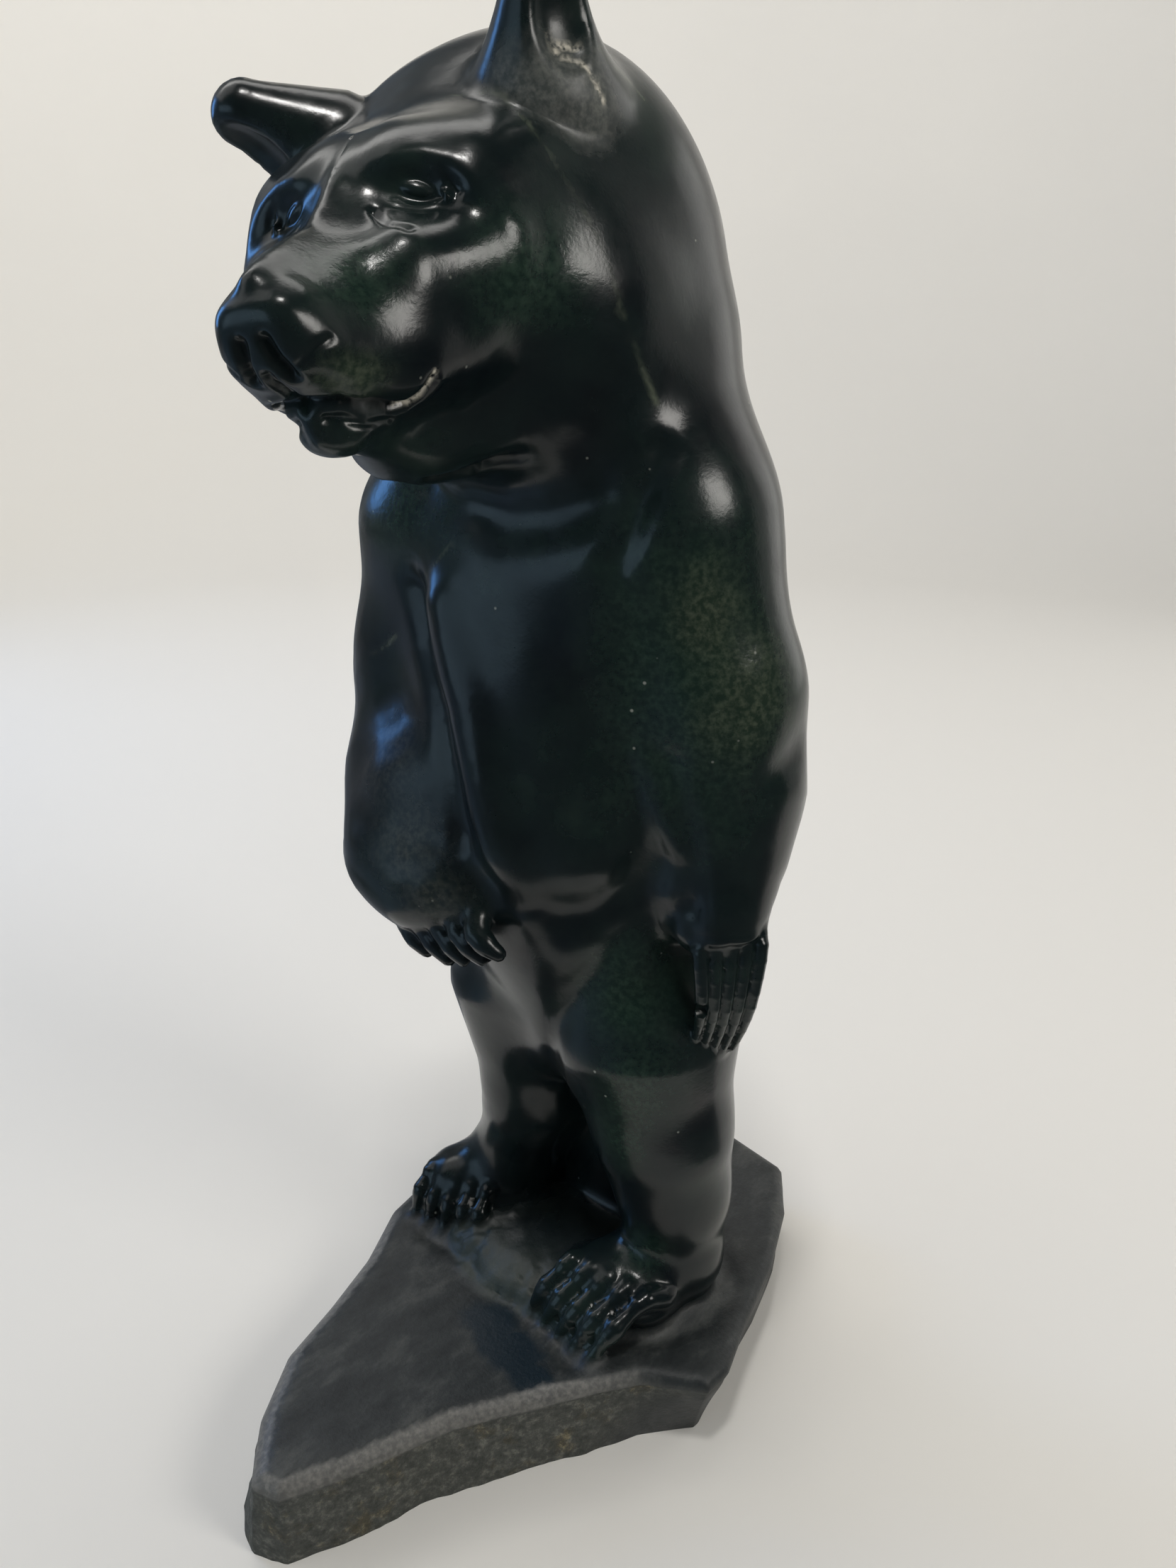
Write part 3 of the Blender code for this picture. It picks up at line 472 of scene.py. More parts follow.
def slab(p):
    """Distance to the slab, whose side leans in at the bear's left and out at its right going down."""
    thickness = SLAB_THICKNESS / SCALE
    receding = LEFT_LEAN * ramp(p[:, 0], *LEFT_LEAN_SPAN) - RIGHT_LEAN * ramp(-p[:, 0], *RIGHT_LEAN_SPAN)
    side = inside_outline(p) - receding * np.minimum(p[:, 2], 0.0)
    top = p[:, 2]
    bottom = -p[:, 2] - thickness - BELOW_GROUND
    bevel = (side + top) * math.sqrt(0.5) + SLAB_BEVEL
    edge = -smooth_union(-np.maximum(side, top), -bevel, BEVEL_REACH)
    return np.maximum(edge, bottom)


def carving(p):
    return smooth_union(bear(p), slab(p), GROUND_REACH)


# Strokes cut into the finished form (points, width, depth; a negative depth raises a ridge) and dents
# (centre, radii, depth). Those of the face are drawn on its left half and mirrored.

BODY_STROKES = [
    ([(3.9, -2.0, 22.0), (4.1, -1.9, 20.6), (4.35, -1.77, 19.3), (4.6, -1.65, 18.2)], 0.8, 0.1),
    ([(4.75, -1.6, 17.9), (4.95, -1.5, 17.3), (5.25, -1.35, 16.2), (5.45, -1.27, 15.0), (5.4, -1.35, 13.6)],
     0.45, 0.17),
    ([(4.15, -1.75, 17.9), (4.6, -1.58, 16.7), (4.95, -1.42, 15.7)], 0.35, -0.12),
    ([(5.75, -1.14, 17.5), (6.2, -0.73, 16.9), (6.7, 0.13, 17.4), (6.8, 1.2, 17.9)], 0.6, 0.17),
    ([(-2.34, -2.83, 21.4), (-1.93, -2.97, 20.0), (-0.9, -3.45, 18.6), (-0.24, -3.75, 17.1),
      (0.2, -3.8, 15.6)], 0.45, 0.3),
    ([(-1.0, -3.1, 21.2), (0.1, -3.5, 19.0), (0.7, -3.75, 17.2), (1.2, -3.7, 15.3), (1.6, -3.2, 13.6)],
     0.7, -0.32),
    ([(0.8, -3.5, 14.4), (1.6, -3.2, 13.8), (2.5, -2.8, 13.6), (3.2, -2.3, 13.7), (3.9, -1.7, 14.3),
      (4.5, -1.4, 15.2)], 0.75, 0.28),
    ([(5.2, -1.4, 14.2), (4.3, -1.5, 13.4), (3.5, -1.8, 12.8), (2.9, -2.1, 11.8), (2.4, -2.3, 11.0),
      (1.6, -2.0, 9.5), (0.9, -1.6, 7.0)], 0.45, 0.2),
    ([(-1.8, -2.7, 24.3), (-0.4, -3.0, 23.9), (0.9, -3.1, 23.5), (2.2, -3.0, 23.7), (3.3, -2.4, 24.2)],
     0.9, 0.4),
    ([(4.17, -1.26, 25.0), (4.11, -1.73, 24.2), (3.94, -2.06, 23.3), (3.7, -2.2, 22.7)], 0.35, 0.2),
    ([(-3.4, -2.9, 0.1), (-2.3, -2.8, 0.1), (-1.5, -2.8, 0.1), (-0.3, -3.3, 0.1), (1.0, -3.2, 0.1),
      (2.7, -3.4, 0.1), (3.5, -3.7, 0.1)], 0.25, 0.12),
    ([(3.9, -2.2, 0.1), (4.9, -1.4, 0.1), (5.6, 0.0, 0.1), (5.4, 1.8, 0.1), (4.4, 2.6, 0.1)], 0.3, 0.15),
    ([(5.4, -1.1, 13.1), (5.85, -1.2, 13.35), (6.3, -0.85, 13.5), (6.6, -0.1, 13.4)], 0.14, -0.08),
]
BODY_DENTS = [
    ((3.2, -2.6, 15.4), (1.3, 0.8, 1.0), -0.15),
    ((5.7, -0.3, 16.5), (1.2, 1.3, 0.8), -0.15),
]
FACE_STROKES = [
    ([(0.05, -6.8, -2.22), (0.27, -6.74, -2.24), (0.73, -6.56, -2.28), (0.94, -6.0, -2.42),
      (1.07, -5.4, -2.6), (1.25, -5.13, -2.62), (1.52, -5.0, -2.48), (1.8, -4.93, -2.2)], 0.13, 0.25),
    ([(0.3, -6.5, -2.52), (0.6, -6.35, -2.62), (0.8, -5.9, -2.76), (0.95, -5.3, -2.88)], 0.09, 0.08),
    ([(0.3, -6.3, -2.85), (0.6, -5.9, -3.0), (0.8, -5.3, -3.1)], 0.1, 0.06),
    ([(1.2, -3.5, 1.6), (1.7, -3.3, 1.62), (2.25, -3.2, 1.35), (2.75, -3.2, 0.9), (3.07, -3.15, 0.5),
      (3.25, -3.0, 0.1)], 0.3, -0.07),
    ([(0.75, -7.42, -1.5), (0.88, -7.35, -1.36), (1.05, -7.2, -1.24), (1.2, -7.0, -1.16)], 0.09, 0.05),
    ([(0.27, -7.65, -1.0), (0.35, -7.55, -1.3), (0.43, -7.3, -1.65)], 0.12, 0.22),
    ([(0.4, -3.4, -4.45), (0.85, -2.8, -4.5), (1.5, -2.2, -4.4), (2.1, -1.7, -4.15), (2.8, -1.3, -3.85),
      (3.4, -1.0, -3.5)], 0.24, 0.28),
    ([(0.0, -7.2, 0.0), (0.0, -5.4, 0.55), (0.0, -4.1, 1.15), (0.0, -2.6, 1.95)], 0.3, -0.2),
    ([(0.0, -7.4, -1.6), (0.0, -6.9, -2.1), (0.0, -6.7, -2.3)], 0.12, 0.14),
    ([(0.93, -4.17, 0.9), (1.35, -4.48, 0.62), (1.82, -4.55, 0.4)], 0.11, 0.08),
]
FACE_DENTS = [
    ((0.95, -4.6, 0.7), (0.5, 0.9, 0.5), 0.12),
    ((0.42, -7.35, -1.52), (0.16, 0.3, 0.18), 0.08),
    ((1.25, -4.3, -3.2), (0.5, 0.9, 0.38), 0.2),
    ((2.9, -1.2, -4.1), (0.5, 0.7, 0.5), 0.2),
]
EYE_STROKES = [
    ([(-0.58, -0.1, 0.0), (-0.35, 0.0, 0.24), (0.05, 0.0, 0.34), (0.4, 0.05, 0.22), (0.68, 0.2, -0.1)],
     0.1, -0.14),
    ([(-0.6, -0.1, 0.28), (-0.1, 0.0, 0.58), (0.4, 0.05, 0.5), (0.8, 0.15, 0.15)], 0.13, 0.08),
    ([(-0.56, -0.1, 0.0), (-0.35, 0.0, 0.1), (0.0, 0.1, 0.19), (0.4, 0.1, 0.08), (0.62, 0.2, -0.1)],
     0.06, 0.08),
    ([(-0.58, -0.1, 0.0), (-0.3, 0.0, -0.24), (0.15, 0.0, -0.3), (0.65, 0.15, -0.12)], 0.1, -0.04),
]


def strokes(p):
    """How far all strokes and dents lower the surface at each point."""
    lowered = np.zeros(len(p))
    q = to_head(p)
    m = mirrored(centred(q))
    for points, lines, dents in ((p, BODY_STROKES, BODY_DENTS), (m, FACE_STROKES, FACE_DENTS)):
        for line, width, depth in lines:
            lowered += furrow(points, line, width, depth)
        for centre, radii, depth in dents:
            lowered += dent(points, centre, radii, depth)
    for centre in EYES:
        own = eye_frame(q, centre)
        for line, width, depth in EYE_STROKES:
            lowered += furrow(own, line, width, depth)
    return lowered


# Places with small forms, as boxes (low corner, high corner), where the mesh is refined once or twice

FINE_PLACES = [
    ((-4.0, -11.0, 24.0), (4.5, -4.5, 32.0)),
    ((-5.5, -4.5, -0.3), (-1.0, -0.3, 2.2)),
    ((0.5, -4.5, -0.3), (5.5, -0.8, 2.2)),
    ((4.4, -2.2, 9.4), (7.2, 1.6, 14.0)),
    ((-3.0, -5.0, 11.0), (2.5, -2.5, 14.8)),
]
FINEST_PLACES = [((4.4, -2.0, 9.4), (7.2, 1.4, 14.0))]
FINEST_FACE_PLACES = [
    ((0.6, -5.2, 0.0), (3.2, -2.6, 2.2)),
    ((-2.6, -5.2, 0.0), (-0.5, -2.6, 2.2)),
    ((-2.2, -8.2, -3.4), (2.2, -4.4, -0.3)),
]
HAIRLINE_REACH = 0.25
HAIRLINE_LEAST = 0.3


# From distance to mesh


SLOPE_STEP = 0.02
LEAST_SLOPE = 0.2
FURTHEST_MOVE = 0.5


def slope(p):
    """Gradient of the carving's distance, by differences to the corners of a tetrahedron."""
    corners = np.array([(1, -1, -1), (-1, -1, 1), (-1, 1, -1), (1, 1, 1)], float)
    total = np.zeros_like(p)
    for corner in corners:
        total += corner * carving(p + corner * SLOPE_STEP)[:, None]
    return total / (4.0 * SLOPE_STEP)


def settle(p, rounds):
    """Moves points along the slope until they lie on the surface."""
    for _ in range(rounds):
        n = slope(p)
        move = carving(p) / np.maximum((n * n).sum(axis=1), LEAST_SLOPE)
        p = p - n * np.clip(move, -FURTHEST_MOVE, FURTHEST_MOVE)[:, None]
    return p


def directions(p):
    n = slope(p)
    return n / np.maximum(np.linalg.norm(n, axis=1), 1e-6)[:, None]


def beads_along(start, end, start_radius, end_radius):
    a, b = np.array(start, float), np.array(end, float)
    steps = max(2, math.ceil(np.linalg.norm(b - a) / (0.5 * min(start_radius, end_radius))))
    shares = np.linspace(0, 1, steps)
    return [(a + (b - a) * t, start_radius + (end_radius - start_radius) * t) for t in shares]


def filling():
    """Centres and radii of balls that fill the figure roughly."""
    balls = [NAPE]
    for low, high in zip(TORSO, TORSO[1:]):
        for t in (0.0, 0.5):
            z, x, y, a, b = np.array(low) + (np.array(high) - np.array(low)) * t
            balls.append(((x, y, z), (a, b, 2.0)))
    balls += [WEB, MOUND]
    for limbs in (LEGS, FEET, ARMS):
        for beads in limbs.values():
            for (a, ra), (b, rb) in zip(beads, beads[1:]):
                balls += beads_along(a, b, ra, rb)
    for first, last, first_tip, last_tip, *_ in DIGITS.values():
        for share in np.linspace(0.0, 1.0, 2 * DIGIT_COUNT - 1):
            knuckle = np.array(first) + (np.array(last) - np.array(first)) * share
            tip = np.array(first_tip) + (np.array(last_tip) - np.array(first_tip)) * share
            balls += beads_along(knuckle, tip, 0.35, 0.3)
    head_balls = [((0.0, y, z), (a, 1.5, b)) for y, _, z, a, b in FACE[2:]]
    head_balls += [((0.0, FACE[1][0], FACE[1][2]), 0.9)]
    for side in (1.0, -1.0):
        flip = np.array([side, 1.0, 1.0])
        for (a, ra), (b, rb) in zip(JAW, JAW[1:]):
            head_balls += [(c * flip, r) for c, r in beads_along(a, b, ra, rb)]
    for centre, turn in EARS.values():
        for c, r in beads_along(EAR_BASE[0], EAR_TIP[0], EAR_BASE[1], EAR_TIP[1]):
            head_balls += [(np.array(centre) + turned(turn) @ c, r)]
    balls += [(HEAD_PLACE + HEAD_AXES @ c, r) for c, r in head_balls]
    return balls


def rough_block():
    """The figure roughed out from one ball set many times and the slab's prism, fused by a voxel Remesh."""
    bm = bmesh.new()
    bmesh.ops.create_icosphere(bm, subdivisions=2, radius=1.0)
    ball_points = np.array([v.co for v in bm.verts])
    ball_faces = np.array([[v.index for v in f.verts] for f in bm.faces])
    bm.clear()
    bottom = -SLAB_THICKNESS / SCALE - BELOW_GROUND
    outline = bm.faces.new([bm.verts.new((x, y, bottom)) for x, y in slab_corners()])
    up = bmesh.ops.extrude_face_region(bm, geom=[outline])
    for vert in up["geom"]:
        if isinstance(vert, bmesh.types.BMVert):
            vert.co.z = 0.0
    bmesh.ops.recalc_face_normals(bm, faces=bm.faces)
    bm.verts.index_update()
    points = [v.co[:] for v in bm.verts]
    faces = [[v.index for v in f.verts] for f in bm.faces]
    bm.free()
    for centre, radii in filling():
        faces += (ball_faces + len(points)).tolist()
        points += (ball_points * radii + centre).tolist()
    mesh = bpy.data.meshes.new("rough")
    mesh.from_pydata(points, [], faces)
    return fused(mesh)


def points_of(mesh):
    p = np.empty(len(mesh.vertices) * 3, np.float32)
    mesh.vertices.foreach_get("co", p)
    return p.reshape(-1, 3).astype(float)


def evened(mesh, p, rounds):
    """Slides points along the surface towards the middle of their neighbours."""
    edges = np.empty(len(mesh.edges) * 2, np.int32)
    mesh.edges.foreach_get("vertices", edges)
    edges = edges.reshape(-1, 2)
    count = np.bincount(edges.ravel(), minlength=len(p)).astype(float)
    for _ in range(rounds):
        middle = np.zeros_like(p)
        for axis in range(3):
            middle[:, axis] = np.bincount(edges[:, 0], p[edges[:, 1], axis], len(p))
            middle[:, axis] += np.bincount(edges[:, 1], p[edges[:, 0], axis], len(p))
        move = middle / count[:, None] - p
        n = directions(p)
        p = p + 0.5 * (move - n * (move * n).sum(axis=1)[:, None])
    return settle(p, 2)


def in_boxes(p, boxes):
    inside = np.zeros(len(p), bool)
    for low, high in boxes:
        inside |= np.all((p > np.array(low)) & (p < np.array(high)), axis=1)
    return inside


def in_fine_places(p):
    return in_boxes(p, FINE_PLACES)


def in_finest_places(p):
    return in_boxes(p, FINEST_PLACES) | in_boxes(to_head(p), FINEST_FACE_PLACES)


def near_hairlines(p):
    scratches = face_lines(to_head(p), SCRATCHES, HAIRLINE_REACH)
    return np.maximum(veins(p, HAIRLINE_REACH), scratches) > HAIRLINE_LEAST


def refine(mesh, chosen):
    """Halves the edges whose ends are both chosen."""
    bm = bmesh.new()
    bm.from_mesh(mesh)
    inside = chosen(points_of(mesh))
    edges = [e for e in bm.edges if inside[e.verts[0].index] and inside[e.verts[1].index]]
    bmesh.ops.subdivide_edges(bm, edges=edges, cuts=1, use_grid_fill=True)
    bm.to_mesh(mesh)
    bm.free()


def put_points(mesh, p):
    mesh.vertices.foreach_set("co", p.astype(np.float32).ravel())
    mesh.update()


def placed(name, data):
    """A new object in the scene."""
    obj = bpy.data.objects.new(name, data)
    bpy.context.scene.collection.objects.link(obj)
    return obj


def fused(mesh):
    """The mesh's balls and prism as one skin."""
    block = placed("block", mesh)
    modifier = block.modifiers.new("fuse", "REMESH")
    modifier.mode = "VOXEL"
    modifier.voxel_size = VOXEL
    bpy.context.view_layer.update()
    skin = bpy.data.meshes.new_from_object(block.evaluated_get(bpy.context.evaluated_depsgraph_get()))
    bpy.data.objects.remove(block)
    return skin


# The fine mesh


def carve():
    """The fine carving in the drawn frame, with its marks."""
    mesh = rough_block()
    p = settle(points_of(mesh), 4)
    put_points(mesh, evened(mesh, p, 3))
    for chosen in (in_fine_places, in_finest_places, near_hairlines):
        refine(mesh, chosen)
        p = points_of(mesh)
        fresh = chosen(p)
        p[fresh] = settle(p[fresh], 3)
        put_points(mesh, p)
    p = evened(mesh, points_of(mesh), 1)
    normals = directions(p)
    p -= normals * strokes(p)[:, None]
    marks = surface_marks(p)
    p -= normals * relief(p, marks)[:, None]
    put_points(mesh, p)
    for name, values in marks.items():
        layer = mesh.attributes.new(name, "FLOAT", "POINT")
        layer.data.foreach_set("value", values.astype(np.float32))
    return mesh


def fractal(p, size, octaves, seed):
    """Smooth noise between about -1 and 1 whose largest forms are size across."""
    shift = Vector((seed, 7.0 * seed, 13.0 * seed))
    return np.array([noise.fractal(Vector(q) / size + shift, 1.0, 2.0, octaves) for q in p])


def line_marks(p, lines, width):
    mark = np.zeros(len(p))
    for line in lines:
        mark = np.maximum(mark, furrow(p, line, width, 1.0))
    return mark


def on_pillar(p):
    """The points moved in or out to an upright pillar round the body."""
    reach = np.linalg.norm(p[:, :2], axis=1)
    return np.column_stack([p[:, :2] * PILLAR_RADIUS / reach[:, None], p[:, 2]])


def on_globe(q):
    """The points moved in or out to a globe round the head's middle."""
    return q * GLOBE_RADIUS / np.linalg.norm(q, axis=1)[:, None]


def veins(p, width):
    """Marks along the veins, wherever the surface lies under them."""
    body = line_marks(on_pillar(p), [on_pillar(np.array(line)) for line in VEINS], width)
    return np.maximum(body, face_lines(to_head(p), FACE_VEINS, width))


def face_lines(q, lines, width):
    return line_marks(on_globe(q), [on_globe(np.array(line)) for line in lines], width)


def spots(p, places):
    mark = np.zeros(len(p))
    for centre, radii in places:
        mark = np.maximum(mark, dent(p, centre, radii, 1.0))
    return mark


def surface_marks(p):
    """How much of each surface there is at each point, from 0 to 1."""
    outline = inside_outline(p)
    depth = -p[:, 2]
    q = to_head(p)
    ground = 1.0 - ramp(slab(p) - bear(p), *GROUND_SPAN)
    mound = ramp(-np.abs(ball(p, *MOUND)), *MOUND_SPAN) * ramp(depth, *MOUND_HEIGHT_SPAN)
    raw = ramp(outline, *RAW_SPAN) * ramp(depth, *RAW_DEPTH_SPAN)
    bevel = ramp(outline, *BEVEL_SPAN) * ramp(depth, *BEVEL_DEPTH_SPAN) * ramp(-p[:, 1], *BEVEL_FRONT_SPAN)
    return {
        "ground": np.maximum(ground, mound),
        "mound": mound,
        "raw": raw,
        "bevel": bevel * (1.0 - raw),
        "olive": spots(p, OLIVE_PLACES),
        "green": spots(p, GREEN_PLACES),
        "worn": spots(q, WORN_PLACES),
        "rough": spots(p, ROUGH_PLACES),
        # Painted shade on the slab's top in front of the feet, where it is also smoother
        "smooth_painted_shade": spots(p, PAINTED_SHADE_PLACES),
        "vein": veins(p, VEIN_WIDTH),
        "scratch": face_lines(q, SCRATCHES, SCRATCH_WIDTH),
    }


def relief(p, marks):
    """How far the fine relief lowers the surface."""
    lowered = SCRATCH_DEPTH * marks["scratch"]
    rough = (marks["raw"] + marks["mound"] + marks["rough"] + marks["worn"]) > 0.01
    q = p[rough]
    small = fractal(q, SMALL_GRAIN, 3, 5.0)
    lowered[rough] += RAW_DEPTH * marks["raw"][rough] * (1.0 + fractal(q, RAW_GRAIN, 4, 3.0))
    lowered[rough] += (MOUND_DEPTH * marks["mound"][rough] + ROUGH_DEPTH * marks["rough"][rough]) * small
    return lowered


# Where each surface of the slab and mound starts and ends, and the relief's depths and sizes, as drawn

GROUND_SPAN = (-0.05, 0.3)
MOUND_SPAN = (-0.35, -0.1)
MOUND_HEIGHT_SPAN = (-1.1, -0.5)
RAW_SPAN = (-0.45, -0.1)
RAW_DEPTH_SPAN = (0.3, 0.6)
BEVEL_SPAN = (-0.5, -0.25)
BEVEL_DEPTH_SPAN = (-0.3, 0.1)
BEVEL_FRONT_SPAN = (1.5, 4.5)
SCRATCH_DEPTH = 0.02
RAW_DEPTH = 0.1
MOUND_DEPTH = 0.11
ROUGH_DEPTH = 0.04
SMALL_GRAIN = 0.5
RAW_GRAIN = 1.2

# Places of the stone's colours and marks, in the drawn frame and, for the face, in the head's frame

PILLAR_RADIUS = 4.0
GLOBE_RADIUS = 4.0

OLIVE_PLACES = [
    ((5.5, -1.1, 21.6), (0.9, 1.2, 1.3)),
    ((6.2, -0.5, 19.9), (1.2, 1.5, 1.9)),
    ((2.4, -8.0, 26.8), (0.8, 0.9, 0.5)),
]
GREEN_PLACES = [
    ((3.6, -1.6, 11.3), (1.5, 1.5, 1.6)),
    ((4.1, -1.9, 8.4), (1.4, 1.5, 1.9)),
    ((3.5, -2.0, 6.6), (1.1, 1.2, 1.3)),
    ((5.3, -1.0, 20.0), (2.8, 2.4, 4.0)),
    ((1.8, -7.5, 28.6), (1.2, 1.4, 1.1)),
    ((3.2, -4.2, 28.6), (1.4, 1.6, 1.2)),
    ((4.0, -1.2, 2.6), (1.0, 0.9, 0.9)),
    ((-3.2, -2.4, 23.4), (2.0, 1.6, 1.6)),
    ((1.5, 3.5, 16.0), (2.4, 2.2, 3.2)),
    ((-2.8, 3.0, 9.0), (2.0, 2.2, 2.6)),
]
WORN_PLACES = [
    ((3.2, -0.7, 2.6), (1.1, 0.9, 0.8)),
    ((3.8, -0.2, 2.1), (0.9, 0.8, 0.8)),
]
ROUGH_PLACES = [
    ((-2.6, -3.2, 16.6), (1.0, 1.0, 1.3)),
    ((-1.6, -4.0, 14.9), (1.1, 1.0, 1.1)),
    ((-0.5, -4.4, 13.9), (0.8, 0.8, 0.6)),
]
# Painted shade: the smoother patches on the slab's top in front of the feet, darker and bluer
PAINTED_SHADE_PLACES = [
    ((0.7, -4.0, 0.0), (1.0, 0.8, 0.8)),
    ((1.8, -4.4, 0.0), (1.2, 0.8, 0.8)),
    ((3.0, -4.8, 0.0), (1.1, 0.6, 0.8)),
]
VEINS = [
    [(-0.8, -3.0, 22.7), (-1.85, -2.92, 21.6), (-2.36, -2.83, 21.0), (-1.92, -2.94, 20.4)],
    [(-4.42, -2.5, 19.2), (-3.38, -2.55, 19.95)],
    [(-1.0, 4.4, 21.0), (0.4, 4.8, 18.6), (0.9, 4.9, 16.0), (2.1, 4.6, 13.4)],
    [(-4.6, 0.9, 20.6), (-4.9, 0.6, 18.0), (-4.6, 1.4, 15.2)],
]
FACE_VEINS = [
    [(1.27, -0.95, 2.9), (1.9, -1.05, 2.6), (2.38, -1.15, 2.25), (2.86, -1.4, 1.75), (3.16, -1.45, 1.36),
     (3.35, -1.43, 1.06), (3.84, -1.26, 0.04), (3.97, -1.1, -1.46), (3.99, -0.58, -2.94), (4.1, -0.52, -3.3)],
    [(3.99, 0.06, 2.96), (4.04, 0.6, 2.69), (4.07, 1.1, 2.59), (4.26, 1.47, 2.48), (4.5, 1.63, 2.2)],
]
VEIN_WIDTH = 0.045
SCRATCHES = [
    [(1.17, -5.38, -2.64), (1.33, -5.13, -2.65), (1.59, -5.0, -2.52), (2.04, -4.93, -2.06)],
    [(3.0, -0.6, 2.75), (3.5, -0.35, 2.45), (3.95, -0.1, 1.95)],
    [(2.75, -0.5, 2.6), (3.2, -0.2, 2.5)],
]
SCRATCH_WIDTH = 0.03


def set_in_box(mesh, low, high):
    """Scales the mesh's points to metres and fits them into the solid's box."""
    p = points_of(mesh)
    own_low, own_high = p.min(axis=0), p.max(axis=0)
    own_low[2] = -SLAB_THICKNESS / SCALE
    share = (p - own_low) / (own_high - own_low)
    put_points(mesh, np.array(low) + share * (np.array(high) - np.array(low)))


def cut_flat(mesh, level):
    bm = bmesh.new()
    bm.from_mesh(mesh)
    everything = bm.verts[:] + bm.edges[:] + bm.faces[:]
    bmesh.ops.bisect_plane(bm, geom=everything, plane_co=(0, 0, level), plane_no=(0, 0, 1), clear_inner=True)
    bmesh.ops.holes_fill(bm, edges=[e for e in bm.edges if e.is_boundary], sides=0)
    bmesh.ops.triangulate(bm, faces=bm.faces)
    bmesh.ops.recalc_face_normals(bm, faces=bm.faces)
    bm.to_mesh(mesh)
    bm.free()


# Materials


class Nodes:
    """Short ways to add nodes to one material."""

    def __init__(self, name):
        self.material = bpy.data.materials.new(name)
        self.material.use_nodes = True
        self.tree = self.material.node_tree
        self.shader = self.tree.nodes["Principled BSDF"]
        self.place = self.add("ShaderNodeTexCoord", {}).outputs["Object"]

    def put(self, node, inputs):
        """Sets the node's inputs, each to a value or to the socket that feeds it."""
        for name, value in inputs.items():
            if isinstance(value, bpy.types.NodeSocket):
                self.tree.links.new(value, node.inputs[name])
            else:
                node.inputs[name].default_value = value

    def add(self, kind, inputs, **settings):
        node = self.tree.nodes.new(kind)
        for name, value in settings.items():
            setattr(node, name, value)
        self.put(node, inputs)
        return node

    def mark(self, name):
        return self.add("ShaderNodeAttribute", {}, attribute_name=name).outputs["Fac"]

    def noise(self, size, detail, roughness, seed=0.0, stretch=None):
        """Noise whose forms are about size metres across, closer together where stretch is above one."""
        place = self.place
        if stretch:
            inputs = {"Vector": place, "Rotation": (0.0, 0.0, STRETCH_TURN), "Scale": stretch}
            place = self.add("ShaderNodeMapping", inputs).outputs["Vector"]
        inputs = {"Vector": place, "Scale": 1.0 / size, "Detail": detail, "Roughness": roughness, "W": seed}
        return self.add("ShaderNodeTexNoise", inputs, noise_dimensions="4D").outputs["Fac"]

    def steps(self, source, stops):
        """A colour ramp through (position, colour) stops."""
        node = self.add("ShaderNodeValToRGB", {"Fac": source})
        elements = node.color_ramp.elements
        while len(elements) < len(stops):
            elements.new(0.5)
        for element, (position, colour) in zip(elements, stops):
            element.position = position
            element.color = (*colour, 1.0)
        return node.outputs["Color"]

    def flecks(self, spacing, size, seed):
        """Scattered round flecks up to size across, in cells spacing apart."""
        inputs = {"Vector": self.place, "Scale": 1.0 / spacing, "W": seed}
        node = self.add("ShaderNodeTexVoronoi", inputs, voronoi_dimensions="4D")
        return self.range(node.outputs["Distance"], 0.5 * size / spacing, 0.25 * size / spacing)

    def broken(self, name, noise, low=0.2, high=0.95):
        """A mark whose edge is broken up by noise."""
        node = self.add("ShaderNodeMath", {0: self.mark(name), 1: noise}, operation="ADD")
        return self.range(node.outputs["Value"], low + 0.5, high + 0.5)

    def range(self, source, low, high, to_low=0.0, to_high=1.0):
        inputs = {"Value": source, "From Min": low, "From Max": high, "To Min": to_low, "To Max": to_high}
        return self.add("ShaderNodeMapRange", inputs).outputs["Result"]

    def times(self, a, b):
        return self.add("ShaderNodeMath", {0: a, 1: b}, operation="MULTIPLY").outputs["Value"]

    def mix(self, factor, a, b, kind="RGBA"):
        """Colours, or numbers where the kind is FLOAT: a where the factor is 0, b where it is 1."""
        first, second, out = (6, 7, 2) if kind == "RGBA" else (2, 3, 0)
        a, b = ((*value, 1.0) if isinstance(value, tuple) else value for value in (a, b))
        return self.add("ShaderNodeMix", {0: factor, first: a, second: b}, data_type=kind).outputs[out]

    def bump(self, height, strength, distance, normal=None):
        inputs = {"Height": height, "Strength": strength, "Distance": distance}
        if normal is not None:
            inputs["Normal"] = normal
        return self.add("ShaderNodeBump", inputs).outputs["Normal"]


